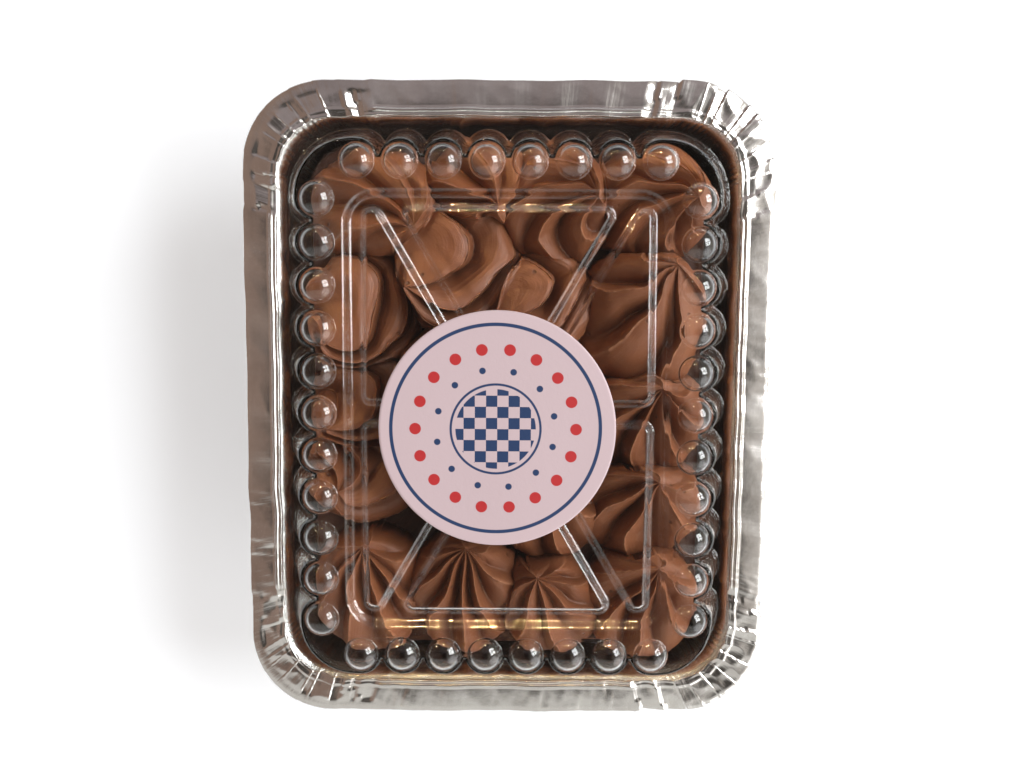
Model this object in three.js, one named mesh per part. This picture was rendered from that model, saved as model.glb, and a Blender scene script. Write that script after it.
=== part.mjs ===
import * as THREE from 'three';

// Chocolate tray cake in its pressed foil tray, under a clear dome lid with a round paper sticker.
// Millimetres, +Z up, the tray stands on z = 0 and the long side runs along Y.

// Foil tray
const FOIL = 0.4;
const TRAY_BASE = { halfX: 41.6, halfY: 54.6, radius: 11, z: 0 };
const TRAY_TOP = { halfX: 50.8, halfY: 63.8, radius: 13.5, z: 39.4 };
const RIM = { halfX: 59, halfY: 72, radius: 19, z: 40.4 };
const LIP_WIDTH = 8.5;
const LIP_TOP = 41.5;
const LIP_UNDER = 41.05;
const BEAD_WIDTH = 1.8;
const BEAD_HEIGHT = 0.8;
const PLEAT_RISE = 1.1;
const PLEAT_SHIFT = 0.7;
const WALL_WRINKLE = 0.3;
const LIP_CORNER_LOSS = 0.65;
const BASE_ROUND = 0.3;
const CORNER_STEPS = 14;
const SHORT_STEPS = 3;
const LONG_STEPS = 4;

// Clear lid
const SHEET = 0.45;
const FLANGE_Z = 40.6;
const FLANGE = { halfX: 57.2, halfY: 70.2, radius: 17.5 };
const LAND_Z = 54;
const PITCH = 9.05;
const LONG_BUBBLES = 11;
const SHORT_BUBBLES = 8;
const FOOT = { lineX: 43.9, lineY: 56.4, radius: 5, spread: 62, cornerRadius: 15, z: FLANGE_Z };
const CREST = { lineX: 40.1, lineY: 53.1, radius: 4.3, spread: 80, cornerRadius: 11.6, z: LAND_Z };
const LID_CORNER_STEPS = 6;
const FRAME_CORNER_STEPS = 4;
const PANEL_CORNER_STEPS = 3;
const STEEPEST_MITRE = 0.6;
const DOME_RADIUS = 3.85;
const DOME_HEIGHT = 2.6;
const DOME_STEPS = 8;
const DOME_SHOULDER = { share: 0.68, rise: 0.66 };
const FRAME_EDGE = { halfX: 34.7, halfY: 47.2, radius: 7 };
const FRAME_FOOT = { halfX: 33, halfY: 45.5, radius: 5.3 };
const FLOOR_Z = 52.2;
const PANEL_Z = 53.8;
const PANEL_WALL = 1.5;
const PANEL_ROUND = 2;
const PANEL_SLOPE = 1.73;
const PANEL_EDGE_X = 31.9;
const PANEL_FAR_X = 31.6;
const END_PANEL_EDGE = 44.7;
const SIDE_PANEL_EDGE = 44.3;
const SIDE_PANEL_CORNER = 44.1;
const SIDE_PANEL_START = 1.4;
const END_PANEL_START = 1;
const SPLIT_HALF = 1.2;

// Sticker
const LABEL = { x: -2.1, y: -3.2, radius: 25.4, thickness: 0.15, steps: 40 };

// Cake
const CAKE_TOP = 28;
const CAKE_GAP = 0.9;
const COAT_TOP = 33;
const COAT_GAP = 3.5;
const COAT_STEP = 1.2;
const SPONGE_EDGE = { inset: 1.5, rise: 2 };
const CAKE_CORNER_STEPS = 6;

// Piped dollops, in rows a to e from the top edge: middle and half widths of the body, where the tip
// was pulled away and how high it stands. Lobes run from the tip: how many, how far they sweep round on
// the way out in radians, the turn of the first one in degrees and how much they bunch up beside it. Ridged
// dollops have sharp crests between hollows, and petals are rounded lobes between creases.
const ridged = (lobes, sweep, turn) => ({ lobes, sweep, turn, bunch: 0, crested: true });
const petals = (lobes, sweep, turn, bunch = 0) => ({ lobes, sweep, turn, bunch, crested: false });
const pipe = (place, [x, y], [rx, ry], [tipX, tipY], top, lobing) =>
  ({ name: `swirl_${place}`, x, y, rx, ry, tipX, tipY, top, ...lobing });
const DOLLOPS = [
  pipe('a1', [-30, 45], [15.5, 13.5], [-20.5, 40.5], 48, ridged(6, 0.5, 75)),
  pipe('a2', [-7, 49.3], [13, 11.4], [-1.5, 43], 47, ridged(5, 0.5, 140)),
  pipe('a3', [10.5, 45], [14, 14.5], [19, 47], 48.5, ridged(6, 1.2, 80)),
  pipe('a4', [31.5, 45.5], [14.5, 13.5], [41, 46], 49, ridged(7, 0.95, 75)),
  pipe('b1', [-33, 20.5], [13, 16], [-41, 15], 48.5, petals(3, 3.4, -59, 0.2)),
  pipe('b2', [-10.5, 30.5], [15, 16.5], [-22.3, 27], 49.5, petals(3, 2.0, -12, 0.38)),
  pipe('b3', [8, 22.5], [13.5, 14], [-1, 19.5], 49, petals(3, 2.0, 8, 0.38)),
  pipe('b4', [29.5, 19], [16, 17], [36.5, 31.5], 49.5, petals(6, -0.5, 9)),
  pipe('c1', [-32.5, -0.5], [13, 13.5], [-40, -4], 47.5, petals(3, 3.0, -50, 0.2)),
  pipe('c2', [-12, 5], [14, 14.5], [-18, 8], 49, petals(3, 1.8, 15, 0.3)),
  pipe('c3', [9, 1], [14.5, 14.5], [5, 9], 49.5, petals(5, 0.9, 60)),
  pipe('c4', [31, -3], [15, 14.5], [33.8, 5.4], 48.5, ridged(7, 0.45, 25)),
  pipe('d1', [-33, -15.5], [14, 12.5], [-38, -19], 48, ridged(5, 1.4, 15)),
  pipe('d2', [-11, -17], [14.5, 12.5], [-14, -12], 48.5, petals(5, 1, 0)),
  pipe('d3', [9.5, -23.5], [14.5, 13], [10, -16], 49, ridged(6, 0.4, 30)),
  pipe('d4', [30, -23.5], [16, 13], [34, -16], 49, ridged(6, 0.4, 5)),
  pipe('e1', [-31.5, -44], [14, 16], [-32, -30.5], 48.5, ridged(7, 0.25, 26)),
  pipe('e2', [-9.5, -44], [13.5, 15.5], [-9.5, -31], 49, ridged(8, 0.2, -4)),
  pipe('e3', [10, -47], [12.5, 12.5], [7, -37.5], 47.5, ridged(7, 0.2, 14)),
  pipe('e4', [31, -46], [14.5, 14.5], [34.5, -35.5], 47.5, ridged(6, 0.35, 8)),
];
const DOLLOP_RINGS = 4;
const DOLLOP_SPOKES = 25;
const RINGS_PER_SWEEP = 2.2;
const SPOKE_LOSS = 0.7;
const SWEEP_BEND = 2;
const DOLLOP_GAP = 0.3;
const LOBE_DEPTH = 0.24;
const FADE_BEHIND = 0.36;
const LOBE_LEAN = 0.62;
const LOBE_BULGE = 0.1;
const LOBE_WANDER = 0.16;
const BUNCH_SHIFT = 1.2;
const EDGE_STEPS = 180;
const SMOOTH_STEPS = 5;
const SMOOTH_STRIDE = 5;
const HOLLOW_POWER = 0.75;
const PETAL_POWER = 0.6;
const SHOULDER = 2.6;
const RIM_RISE = 0.04;
const FOLD_START = 2.5;
const RING_SPACING = 0.6;
const MARCH = 80;
const MARCH_START = 8;

// Materials
const paint = (name, color, roughness, metalness) =>
  new THREE.MeshStandardMaterial({ name, color, roughness, metalness });
const foil = paint('foil', 0xb8b4ae, 0.35, 1);
const clear = paint('clear_plastic', 0xe8eef0, 0.06, 0);
const paper = paint('sticker_paper', 0xf2d3d8, 0.6, 0);
const sponge = paint('sponge', 0x4a2a1a, 0.9, 0);
const frosting = paint('frosting', 0x7d5138, 0.5, 0);

const group = new THREE.Group();
group.name = 'tray_cake';

// A surface being gathered: points and the triangles between them
const newSurface = () => ({ points: [], faces: [] });

const addPoints = (surface, points) => {
  const first = surface.points.length;
  surface.points.push(...points);
  return points.map((_, i) => first + i);
};

// Quads between two closed loops of equal length; the surface faces out when upper is left of lower
const addStrip = (surface, lower, upper) => {
  lower.forEach((_, i) => {
    const j = (i + 1) % lower.length;
    surface.faces.push([lower[i], lower[j], upper[j]], [lower[i], upper[j], upper[i]]);
  });
};

// Flat region inside a loop, with holes, facing up
const addFlat = (surface, contour, holes) => {
  const flat = (loop) => loop.map((i) => new THREE.Vector2(surface.points[i].x, surface.points[i].y));
  const all = [...contour, ...holes.flat()];
  THREE.ShapeUtils.triangulateShape(flat(contour), holes.map(flat)).forEach(([a, b, c]) => {
    const [p, q, r] = [a, b, c].map((i) => surface.points[all[i]]);
    const turn = (q.x - p.x) * (r.y - p.y) - (q.y - p.y) * (r.x - p.x);
    surface.faces.push(turn > 0 ? [all[a], all[b], all[c]] : [all[a], all[c], all[b]]);
  });
};

const addFan = (surface, loop, centre, up) => {
  const [hub] = addPoints(surface, [centre]);
  loop.forEach((_, i) => {
    const j = (i + 1) % loop.length;
    surface.faces.push(up ? [loop[i], loop[j], hub] : [loop[j], loop[i], hub]);
  });
};

const addMesh = (name, surface, material) => {
  const geometry = new THREE.BufferGeometry();
  const positions = surface.points.flatMap((p) => [p.x, p.y, p.z]);
  geometry.setAttribute('position', new THREE.Float32BufferAttribute(positions, 3));
  geometry.setIndex(surface.faces.flat());
  geometry.computeVertexNormals();
  const mesh = new THREE.Mesh(geometry, material);
  mesh.name = name;
  group.add(mesh);
};

// Repeatable unevenness between 0 and 1
const SCATTER_RATE = 12.9898;
const SCATTER_SIZE = 43758.5453;
const uneven = (seed) => {
  const wave = Math.sin(seed * SCATTER_RATE) * SCATTER_SIZE;
  return wave - Math.floor(wave);
};

const radians = (degrees) => (degrees * Math.PI) / 180;
const mix = (a, b, t) => a + (b - a) * t;

// Rounded rectangle walked anticlockwise, each point with its outward direction and place in a corner
const roundedLoop = ({ halfX, halfY, radius }, cornerSteps, shortSteps, longSteps) => {
  const loop = [];
  const signs = [[1, 1], [-1, 1], [-1, -1], [1, -1]];
  signs.forEach(([signX, signY], quarter) => {
    const centreX = signX * (halfX - radius);
    const centreY = signY * (halfY - radius);
    for (let i = 0; i <= cornerSteps; i += 1) {
      const angle = (quarter + i / cornerSteps) * (Math.PI / 2);
      const outX = Math.cos(angle);
      const outY = Math.sin(angle);
      const corner = { quarter, step: i, share: Math.sin((Math.PI * i) / cornerSteps) };
      loop.push({ x: centreX + radius * outX, y: centreY + radius * outY, outX, outY, corner });
    }
    const last = loop[loop.length - 1];
    const sideSteps = quarter % 2 === 0 ? shortSteps : longSteps;
    const length = 2 * (quarter % 2 === 0 ? halfX - radius : halfY - radius);
    for (let i = 1; i < sideSteps; i += 1) {
      const along = (length * i) / sideSteps;
      loop.push({
        x: last.x - last.outY * along,
        y: last.y + last.outX * along,
        outX: last.outX,
        outY: last.outY,
        corner: null,
      });
    }
  });
  return loop;
};

// Foil tray: one sheet from the base up the wall, out along the flange and folded back over it
const trayStation = (inset, z, options = {}) => ({
  halfX: RIM.halfX - inset,
  halfY: RIM.halfY - inset,
  radius: RIM.radius - Math.min(inset, LIP_WIDTH) * LIP_CORNER_LOSS,
  z,
  ...options,
});

const wallStation = (t, push, lift) => ({
  halfX: mix(TRAY_BASE.halfX, TRAY_TOP.halfX, t) + push,
  halfY: mix(TRAY_BASE.halfY, TRAY_TOP.halfY, t) + push,
  radius: mix(TRAY_BASE.radius, TRAY_TOP.radius, t) + push,
  z: mix(TRAY_BASE.z, TRAY_TOP.z, t) + lift,
  wrinkle: WALL_WRINKLE * Math.sin(Math.PI * t),
});

const stationPoints = (station) =>
  roundedLoop(station, CORNER_STEPS, SHORT_STEPS, LONG_STEPS).map((p) => {
    let out = 0;
    let z = station.z;
    if (p.corner) {
      const seed = p.corner.quarter * 31 + p.corner.step;
      const zigzag = p.corner.step % 2 === 1 ? 1 : 0;
      const size = p.corner.share * (0.5 + 0.5 * uneven(seed));
      out += (station.wrinkle ?? 0) * (zigzag - 0.5) * p.corner.share;
      out += (station.pleat ?? 0) * PLEAT_SHIFT * (zigzag - 0.5) * size;
      z += (station.pleat ?? 0) * PLEAT_RISE * zigzag * size;
      z += (station.bead ?? 0) * (1 - Math.min(1, p.corner.share * 2.5));
    } else {
      z += station.bead ?? 0;
    }
    return new THREE.Vector3(p.x + p.outX * out, p.y + p.outY * out, z);
  });

// Stations of the sheet: up the outside, over the lip with its bead, back under it and down the inside
const tray = newSurface();
const stations = [
  wallStation(0, 0, 0),
  wallStation(0.04, BASE_ROUND, 0),
  wallStation(0.5, 0, 0),
  wallStation(1, 0, -FOIL / 2),
  trayStation(0.35, TRAY_TOP.z + 0.2),
  trayStation(0, RIM.z, { pleat: 0.5 }),
  trayStation(0.5, LIP_TOP - 0.15, { pleat: 1 }),
  trayStation(LIP_WIDTH * 0.5, LIP_TOP, { pleat: 1 }),
  trayStation(LIP_WIDTH - BEAD_WIDTH, LIP_TOP, { pleat: 0.8 }),
  trayStation(LIP_WIDTH - BEAD_WIDTH * 0.5, LIP_TOP + 0.1, { pleat: 0.7, bead: BEAD_HEIGHT - 0.1 }),
  trayStation(LIP_WIDTH, LIP_TOP - 0.1, { pleat: 0.6 }),
  trayStation(LIP_WIDTH - BEAD_WIDTH * 0.6, LIP_UNDER, { pleat: 0.7 }),
  trayStation(LIP_WIDTH * 0.5, LIP_UNDER + 0.02, { pleat: 0.9 }),
  trayStation(0.9, LIP_UNDER - 0.1, { pleat: 0.8 }),
  trayStation(0.8, TRAY_TOP.z + FOIL + 0.2),
  wallStation(1, 0.1, FOIL + 0.1),
  wallStation(0.94, -FOIL, 0),
  wallStation(0.5, -FOIL, 0),
  wallStation(0.04, -FOIL, 0),
  wallStation(0, -FOIL - 0.1, FOIL),
];
const trayRings = stations.map((station) => addPoints(tray, stationPoints(station)));
trayRings.slice(1).forEach((ring, i) => addStrip(tray, trayRings[i], ring));
addFan(tray, trayRings[0], new THREE.Vector3(0, 0, 0), false);
addFan(tray, trayRings[trayRings.length - 1], new THREE.Vector3(0, 0, FOIL), true);
addMesh('foil_tray', tray, foil);

// Scalloped outline of the lid: bubbles along each side, with plain rounded corners between
const scallopLoop = ({ lineX, lineY, radius, spread, cornerRadius, z }) => {
  const loop = [];
  const push = (x, y) => loop.push(new THREE.Vector3(x, y, z));
  for (let quarter = 0; quarter < 4; quarter += 1) {
    const long = quarter % 2 === 0;
    const line = long ? lineX : lineY;
    const count = long ? LONG_BUBBLES : SHORT_BUBBLES;
    const facing = quarter * (Math.PI / 2);
    const cos = Math.cos(facing);
    const sin = Math.sin(facing);
    const place = (out, along) => push(cos * out - sin * along, sin * out + cos * along);
    for (let k = 0; k < count; k += 1) {
      const along = (k - (count - 1) / 2) * PITCH;
      const from = k === 0 ? 0 : -2;
      const to = k === count - 1 ? 0 : 2;
      for (let step = from; step <= to; step += 1) {
        const angle = radians((spread * step) / 2);
        place(line + radius * Math.cos(angle), along + radius * Math.sin(angle));
      }
    }
    const outer = line + radius - cornerRadius;
    const side = (long ? lineY : lineX) + radius - cornerRadius;
    for (let step = 0; step <= LID_CORNER_STEPS; step += 1) {
      const angle = ((step / LID_CORNER_STEPS) * Math.PI) / 2;
      place(outer + cornerRadius * Math.cos(angle), side + cornerRadius * Math.sin(angle));
    }
  }
  return loop;
};

// Middles of all the bubbles
const bubbleCentres = [];
[[1, 0], [-1, 0], [0, 1], [0, -1]].forEach(([sideX, sideY]) => {
  const count = sideX ? LONG_BUBBLES : SHORT_BUBBLES;
  for (let k = 0; k < count; k += 1) {
    const along = (k - (count - 1) / 2) * PITCH;
    bubbleCentres.push([sideX ? sideX * CREST.lineX : along, sideY ? sideY * CREST.lineY : along]);
  }
});

// Corner arcs of a convex outline: the middle of each arc and the directions it turns through
const roundedCorners = (outline, radius, steps) =>
  outline.map((vertex, i) => {
    const before = outline[(i + outline.length - 1) % outline.length];
    const after = outline[(i + 1) % outline.length];
    const arrive = vertex.clone().sub(before).normalize();
    const leave = after.clone().sub(vertex).normalize();
    const turn = Math.atan2(arrive.x * leave.y - arrive.y * leave.x, arrive.dot(leave));
    const inward = new THREE.Vector2(-arrive.y, arrive.x);
    const back = radius * Math.tan(turn / 2);
    const centre = vertex.clone().addScaledVector(arrive, -back).addScaledVector(inward, radius);
    const start = Math.atan2(-inward.y, -inward.x);
    const angles = Array.from({ length: steps + 1 }, (_, k) => start + (turn * k) / steps);
    return { centre, angles };
  });

const cornerLoop = (corners, radius, z) =>
  corners.flatMap(({ centre: { x, y }, angles }) =>
    angles.map((angle) => new THREE.Vector3(x + radius * Math.cos(angle), y + radius * Math.sin(angle), z)));

// The six raised panels of the lid top: one at each end and two down each side
const slant = (start, y) => start + y / PANEL_SLOPE;
const halfEnd = slant(-END_PANEL_START, END_PANEL_EDGE);
const endPanel = [[halfEnd, END_PANEL_EDGE], [-halfEnd, END_PANEL_EDGE], [0, END_PANEL_START * PANEL_SLOPE]];
const sidePanel = [
  [PANEL_EDGE_X, SPLIT_HALF],
  [PANEL_FAR_X, SIDE_PANEL_CORNER],
  [slant(SIDE_PANEL_START, SIDE_PANEL_EDGE), SIDE_PANEL_EDGE],
  [slant(SIDE_PANEL_START, SPLIT_HALF), SPLIT_HALF],
];
const mirrored = (outline, signX, signY) => {
  const moved = outline.map(([x, y]) => new THREE.Vector2(x * signX, y * signY));
  return signX * signY < 0 ? moved.reverse() : moved;
};
const panels = [
  mirrored(endPanel, 1, 1),
  mirrored(endPanel, -1, -1),
  mirrored(sidePanel, 1, 1),
  mirrored(sidePanel, -1, 1),
  mirrored(sidePanel, -1, -1),
  mirrored(sidePanel, 1, -1),
];

// Upper face of the lid, from the flange in to the panels
const lid = newSurface();
const plainLoop = (shape, z, steps) =>
  roundedLoop(shape, steps, 1, 1).map((p) => new THREE.Vector3(p.x, p.y, z));
const flangeEdge = addPoints(lid, plainLoop(FLANGE, FLANGE_Z, LID_CORNER_STEPS));
const wallFoot = addPoints(lid, scallopLoop(FOOT));
const wallCrest = addPoints(lid, scallopLoop(CREST));
const frameEdge = addPoints(lid, plainLoop(FRAME_EDGE, LAND_Z, FRAME_CORNER_STEPS));
const frameFoot = addPoints(lid, plainLoop(FRAME_FOOT, FLOOR_Z, FRAME_CORNER_STEPS));
addFlat(lid, flangeEdge, [wallFoot]);
addStrip(lid, wallFoot, wallCrest);
addStrip(lid, frameEdge, frameFoot);

const domeRing = (centre, share, z) =>
  Array.from({ length: DOME_STEPS }, (_, i) => {
    const angle = ((i + 0.5) / DOME_STEPS) * 2 * Math.PI;
    const reach = DOME_RADIUS * share;
    return new THREE.Vector3(centre[0] + reach * Math.cos(angle), centre[1] + reach * Math.sin(angle), z);
  });
const domeFeet = bubbleCentres.map((centre) => {
  const foot = addPoints(lid, domeRing(centre, 1, LAND_Z));
  const shoulderZ = LAND_Z + DOME_HEIGHT * DOME_SHOULDER.rise;
  const shoulder = addPoints(lid, domeRing(centre, DOME_SHOULDER.share, shoulderZ));
  addStrip(lid, foot, shoulder);
  addFan(lid, shoulder, new THREE.Vector3(centre[0], centre[1], LAND_Z + DOME_HEIGHT), true);
  return foot;
});
addFlat(lid, wallCrest, [frameEdge, ...domeFeet]);

const panelFeet = panels.map((outline) => {
  const corners = roundedCorners(outline, PANEL_ROUND, PANEL_CORNER_STEPS);
  const foot = addPoints(lid, cornerLoop(corners, PANEL_ROUND, FLOOR_Z));
  const top = addPoints(lid, cornerLoop(corners, PANEL_ROUND - PANEL_WALL, PANEL_Z));
  addStrip(lid, foot, top);
  addFlat(lid, top, []);
  return foot;
});
addFlat(lid, frameFoot, panelFeet);

// Give the open face its thickness: every point moved in along the mean of the faces around it
const thicken = (surface, rim, thickness) => {
  const count = surface.points.length;
  const around = Array.from({ length: count }, () => []);
  const faces = [...surface.faces];
  faces.forEach((face) => {
    const [a, b, c] = face.map((i) => surface.points[i]);
    const normal = b.clone().sub(a).cross(c.clone().sub(a)).normalize();
    face.forEach((i, k) => {
      const next = surface.points[face[(k + 1) % 3]].clone().sub(surface.points[i]);
      const last = surface.points[face[(k + 2) % 3]].clone().sub(surface.points[i]);
      around[i].push({ normal, weight: next.angleTo(last) });
    });
  });
  const inner = surface.points.map((point, i) => {
    const mean = new THREE.Vector3();
    around[i].forEach(({ normal, weight }) => mean.addScaledVector(normal, weight));
    mean.normalize();
    const least = Math.min(...around[i].map(({ normal }) => normal.dot(mean)));
    return point.clone().addScaledVector(mean, -thickness / Math.max(STEEPEST_MITRE, least));
  });
  addPoints(surface, inner);
  faces.forEach(([a, b, c]) => surface.faces.push([a + count, c + count, b + count]));
  addStrip(surface, rim.map((i) => i + count), rim);
};
thicken(lid, flangeEdge, SHEET);
addMesh('lid', lid, clear);

// Paper sticker lying on the raised panels
const labelShape = new THREE.CylinderGeometry(LABEL.radius, LABEL.radius, LABEL.thickness, LABEL.steps);
labelShape.rotateX(Math.PI / 2);
labelShape.translate(LABEL.x, LABEL.y, PANEL_Z + LABEL.thickness / 2);
const label = new THREE.Mesh(labelShape, paper);
label.name = 'sticker';
group.add(label);

// Sponge filling the lower part of the tray, and the coat of frosting spread over it
const block = (name, levels, material) => {
  const surface = newSurface();
  const rings = levels.map(({ t, z, inset }) => {
    const base = wallStation(t, -inset, 0);
    return addPoints(surface, plainLoop(base, z, CAKE_CORNER_STEPS));
  });
  rings.slice(1).forEach((ring, i) => addStrip(surface, rings[i], ring));
  addFan(surface, rings[0], new THREE.Vector3(0, 0, levels[0].z), false);
  addFan(surface, rings[rings.length - 1], new THREE.Vector3(0, 0, levels[levels.length - 1].z), true);
  addMesh(name, surface, material);
};
const trayShare = (z) => z / TRAY_TOP.z;
block('sponge', [
  { t: 0, z: FOIL, inset: CAKE_GAP + SPONGE_EDGE.inset },
  { t: trayShare(SPONGE_EDGE.rise), z: FOIL + SPONGE_EDGE.rise, inset: CAKE_GAP },
  { t: trayShare(CAKE_TOP), z: CAKE_TOP, inset: CAKE_GAP },
], sponge);
block('frosting_coat', [
  { t: trayShare(CAKE_TOP), z: CAKE_TOP, inset: COAT_GAP },
  { t: trayShare(COAT_TOP), z: COAT_TOP - COAT_STEP, inset: COAT_GAP },
  { t: trayShare(COAT_TOP), z: COAT_TOP, inset: COAT_GAP + COAT_STEP },
], frosting);

// Place on a dollop: share 0 is the tip and 1 the rim, straight out at an angle round the body
const placeOn = (dollop, share, angle) => {
  const rimX = dollop.x + dollop.rx * Math.cos(angle);
  const rimY = dollop.y + dollop.ry * Math.sin(angle);
  return { x: mix(dollop.tipX, rimX, share), y: mix(dollop.tipY, rimY, share) };
};

// The angle at which a place lies, with the body stretched to a circle of radius 1
const angleThrough = (dollop, x, y) => {
  const tipX = (dollop.tipX - dollop.x) / dollop.rx;
  const tipY = (dollop.tipY - dollop.y) / dollop.ry;
  const offX = (x - dollop.tipX) / dollop.rx;
  const offY = (y - dollop.tipY) / dollop.ry;
  const a = 1 - tipX * tipX - tipY * tipY;
  const b = tipX * offX + tipY * offY;
  const share = Math.max(1e-6, (b + Math.sqrt(b * b + a * (offX * offX + offY * offY))) / a);
  return Math.atan2(tipY + offY / share, tipX + offX / share);
};

// Lobes counted round the dollop, their widths wandering a little
const wander = (dollop, spoke) => {
  const seed = DOLLOPS.indexOf(dollop);
  const bunched = Math.sin(spoke - radians(dollop.turn) + BUNCH_SHIFT) - Math.sin(BUNCH_SHIFT);
  const stray = Math.sin(spoke + seed * 2.4) + 0.4 * Math.sin(3 * spoke + seed * 1.3);
  return dollop.bunch * bunched + LOBE_WANDER * (1 - 2.2 * dollop.bunch) * stray;
};
const lobePhase = (dollop, spoke) =>
  (dollop.lobes * (spoke - radians(dollop.turn))) / (2 * Math.PI) + wander(dollop, spoke);

const lobeHeight = (dollop, spoke) => {
  const phase = lobePhase(dollop, spoke);
  const within = phase - Math.floor(phase);
  if (dollop.crested) {
    return 1 - Math.sin(Math.PI * within) ** HOLLOW_POWER;
  }
  const rising = within < LOBE_LEAN;
  const warped = rising ? (0.5 * within) / LOBE_LEAN : 0.5 + (0.5 * (within - LOBE_LEAN)) / (1 - LOBE_LEAN);
  return Math.sin(Math.PI * warped) ** PETAL_POWER;
};

// Creases are shallow behind the tip, unless the lobes bunch up
const depthAt = (dollop, spoke) => {
  const axis = Math.atan2(dollop.y - dollop.tipY, dollop.x - dollop.tipX);
  return dollop.bunch > 0 ? 1 : 1 - FADE_BEHIND * (1 - Math.cos(spoke - axis));
};

const heightOn = (dollop, share, spoke) => {
  const body = Math.sqrt(Math.max(0, 1 - share ** SHOULDER));
  const depth = LOBE_DEPTH * depthAt(dollop, spoke) * Math.min(1, share * FOLD_START);
  const fold = depth * (1 - lobeHeight(dollop, spoke));
  return COAT_TOP + (dollop.top - COAT_TOP) * Math.max(RIM_RISE, body * (1 - fold));
};

// How far a place is from a dollop's middle, as a share of its half width; lobes reach out further
const reachOf = (dollop, x, y, angle) =>
  Math.hypot((x - dollop.x) / dollop.rx, (y - dollop.y) / dollop.ry)
  * (1 - LOBE_BULGE * (lobeHeight(dollop, angle - dollop.sweep) - 0.5));

// Where an angle's line runs into a neighbour that the place belongs to more than to this dollop
const lineReach = (dollop, angle) => {
  for (let step = MARCH_START; step <= MARCH; step += 1) {
    const { x, y } = placeOn(dollop, step / MARCH, angle);
    const own = reachOf(dollop, x, y, angle);
    if (DOLLOPS.some((other) => other !== dollop && reachOf(other, x, y, angleThrough(other, x, y)) < own)) {
      return (step - 1) / MARCH;
    }
  }
  return 1;
};

// The same, less the gap to the neighbour
const edgeShare = (dollop, angle) => {
  const reach = lineReach(dollop, angle);
  const { x, y } = placeOn(dollop, reach, angle);
  const length = Math.hypot(x - dollop.tipX, y - dollop.tipY);
  return reach * Math.max(0.5, 1 - DOLLOP_GAP / length);
};

// Spokes set so that the same parts of every lobe are met, whatever its width
const spokeAt = (dollop, phase) => {
  let low = radians(dollop.turn) - 2;
  let high = low + 4 + 2 * Math.PI;
  for (let pass = 0; pass < 40; pass += 1) {
    const middle = (low + high) / 2;
    if (lobePhase(dollop, middle) < phase) {
      low = middle;
    } else {
      high = middle;
    }
  }
  return low;
};

// Where a dollop ends all round, as shares, and the same smoothed by a mean over 60 degrees to each side
const aroundEdge = (dollop) => {
  const rim = Array.from({ length: EDGE_STEPS }, (_, i) => edgeShare(dollop, (i * 2 * Math.PI) / EDGE_STEPS));
  const smooth = rim.map((_, i) => {
    let total = 0;
    for (let k = -SMOOTH_STEPS; k <= SMOOTH_STEPS; k += 1) {
      const weight = 1 + Math.cos((k * Math.PI) / (SMOOTH_STEPS + 1));
      total += weight * rim[(i + k * SMOOTH_STRIDE + EDGE_STEPS) % EDGE_STEPS];
    }
    return total / (2 * (SMOOTH_STEPS + 1));
  });
  return { rim, smooth };
};

const readAround = (values, angle) => {
  const turns = angle / (2 * Math.PI);
  const place = (turns - Math.floor(turns)) * EDGE_STEPS;
  const before = Math.floor(place) % EDGE_STEPS;
  return mix(values[before], values[(before + 1) % EDGE_STEPS], place - Math.floor(place));
};

// The more a dollop's lobes sweep round, the more rings it has, with fewer spokes
DOLLOPS.forEach((dollop) => {
  const surface = newSurface();
  const ringCount = Math.max(DOLLOP_RINGS, Math.ceil(Math.abs(dollop.sweep) * RINGS_PER_SWEEP));
  const spokeCount = DOLLOP_SPOKES * (DOLLOP_RINGS / ringCount) ** SPOKE_LOSS;
  const perLobe = Math.max(3, Math.round(spokeCount / dollop.lobes));
  const spokes = Array.from({ length: perLobe * dollop.lobes }, (_, i) => spokeAt(dollop, i / perLobe));
  const { rim, smooth } = aroundEdge(dollop);
  const ring = (fraction, z) =>
    spokes.map((spoke) => {
      const angle = spoke + dollop.sweep * fraction ** SWEEP_BEND;
      const share = mix(readAround(smooth, angle), readAround(rim, angle), fraction ** 4) * fraction;
      const { x, y } = placeOn(dollop, share, angle);
      return new THREE.Vector3(x, y, z ?? heightOn(dollop, share, spoke));
    });
  const rings = [addPoints(surface, ring(1, COAT_TOP))];
  for (let k = ringCount; k > 0; k -= 1) {
    rings.push(addPoints(surface, ring((k / ringCount) ** RING_SPACING)));
  }
  rings.slice(1).forEach((upper, i) => addStrip(surface, rings[i], upper));
  addFan(surface, rings[0], new THREE.Vector3(dollop.tipX, dollop.tipY, COAT_TOP), false);
  addFan(surface, rings[rings.length - 1], new THREE.Vector3(dollop.tipX, dollop.tipY, dollop.top), true);
  addMesh(dollop.name, surface, frosting);
});

export default group;
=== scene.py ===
"""Looks of a chocolate cake in its foil tray, piped with frosting, under a clear lid with a round sticker.

Every piece is worked out here in millimetres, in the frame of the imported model, and written in metres.
"""

import math
from types import SimpleNamespace

import bpy
import numpy as np
from mathutils import Matrix, Vector
from mathutils.geometry import tessellate_polygon


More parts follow.
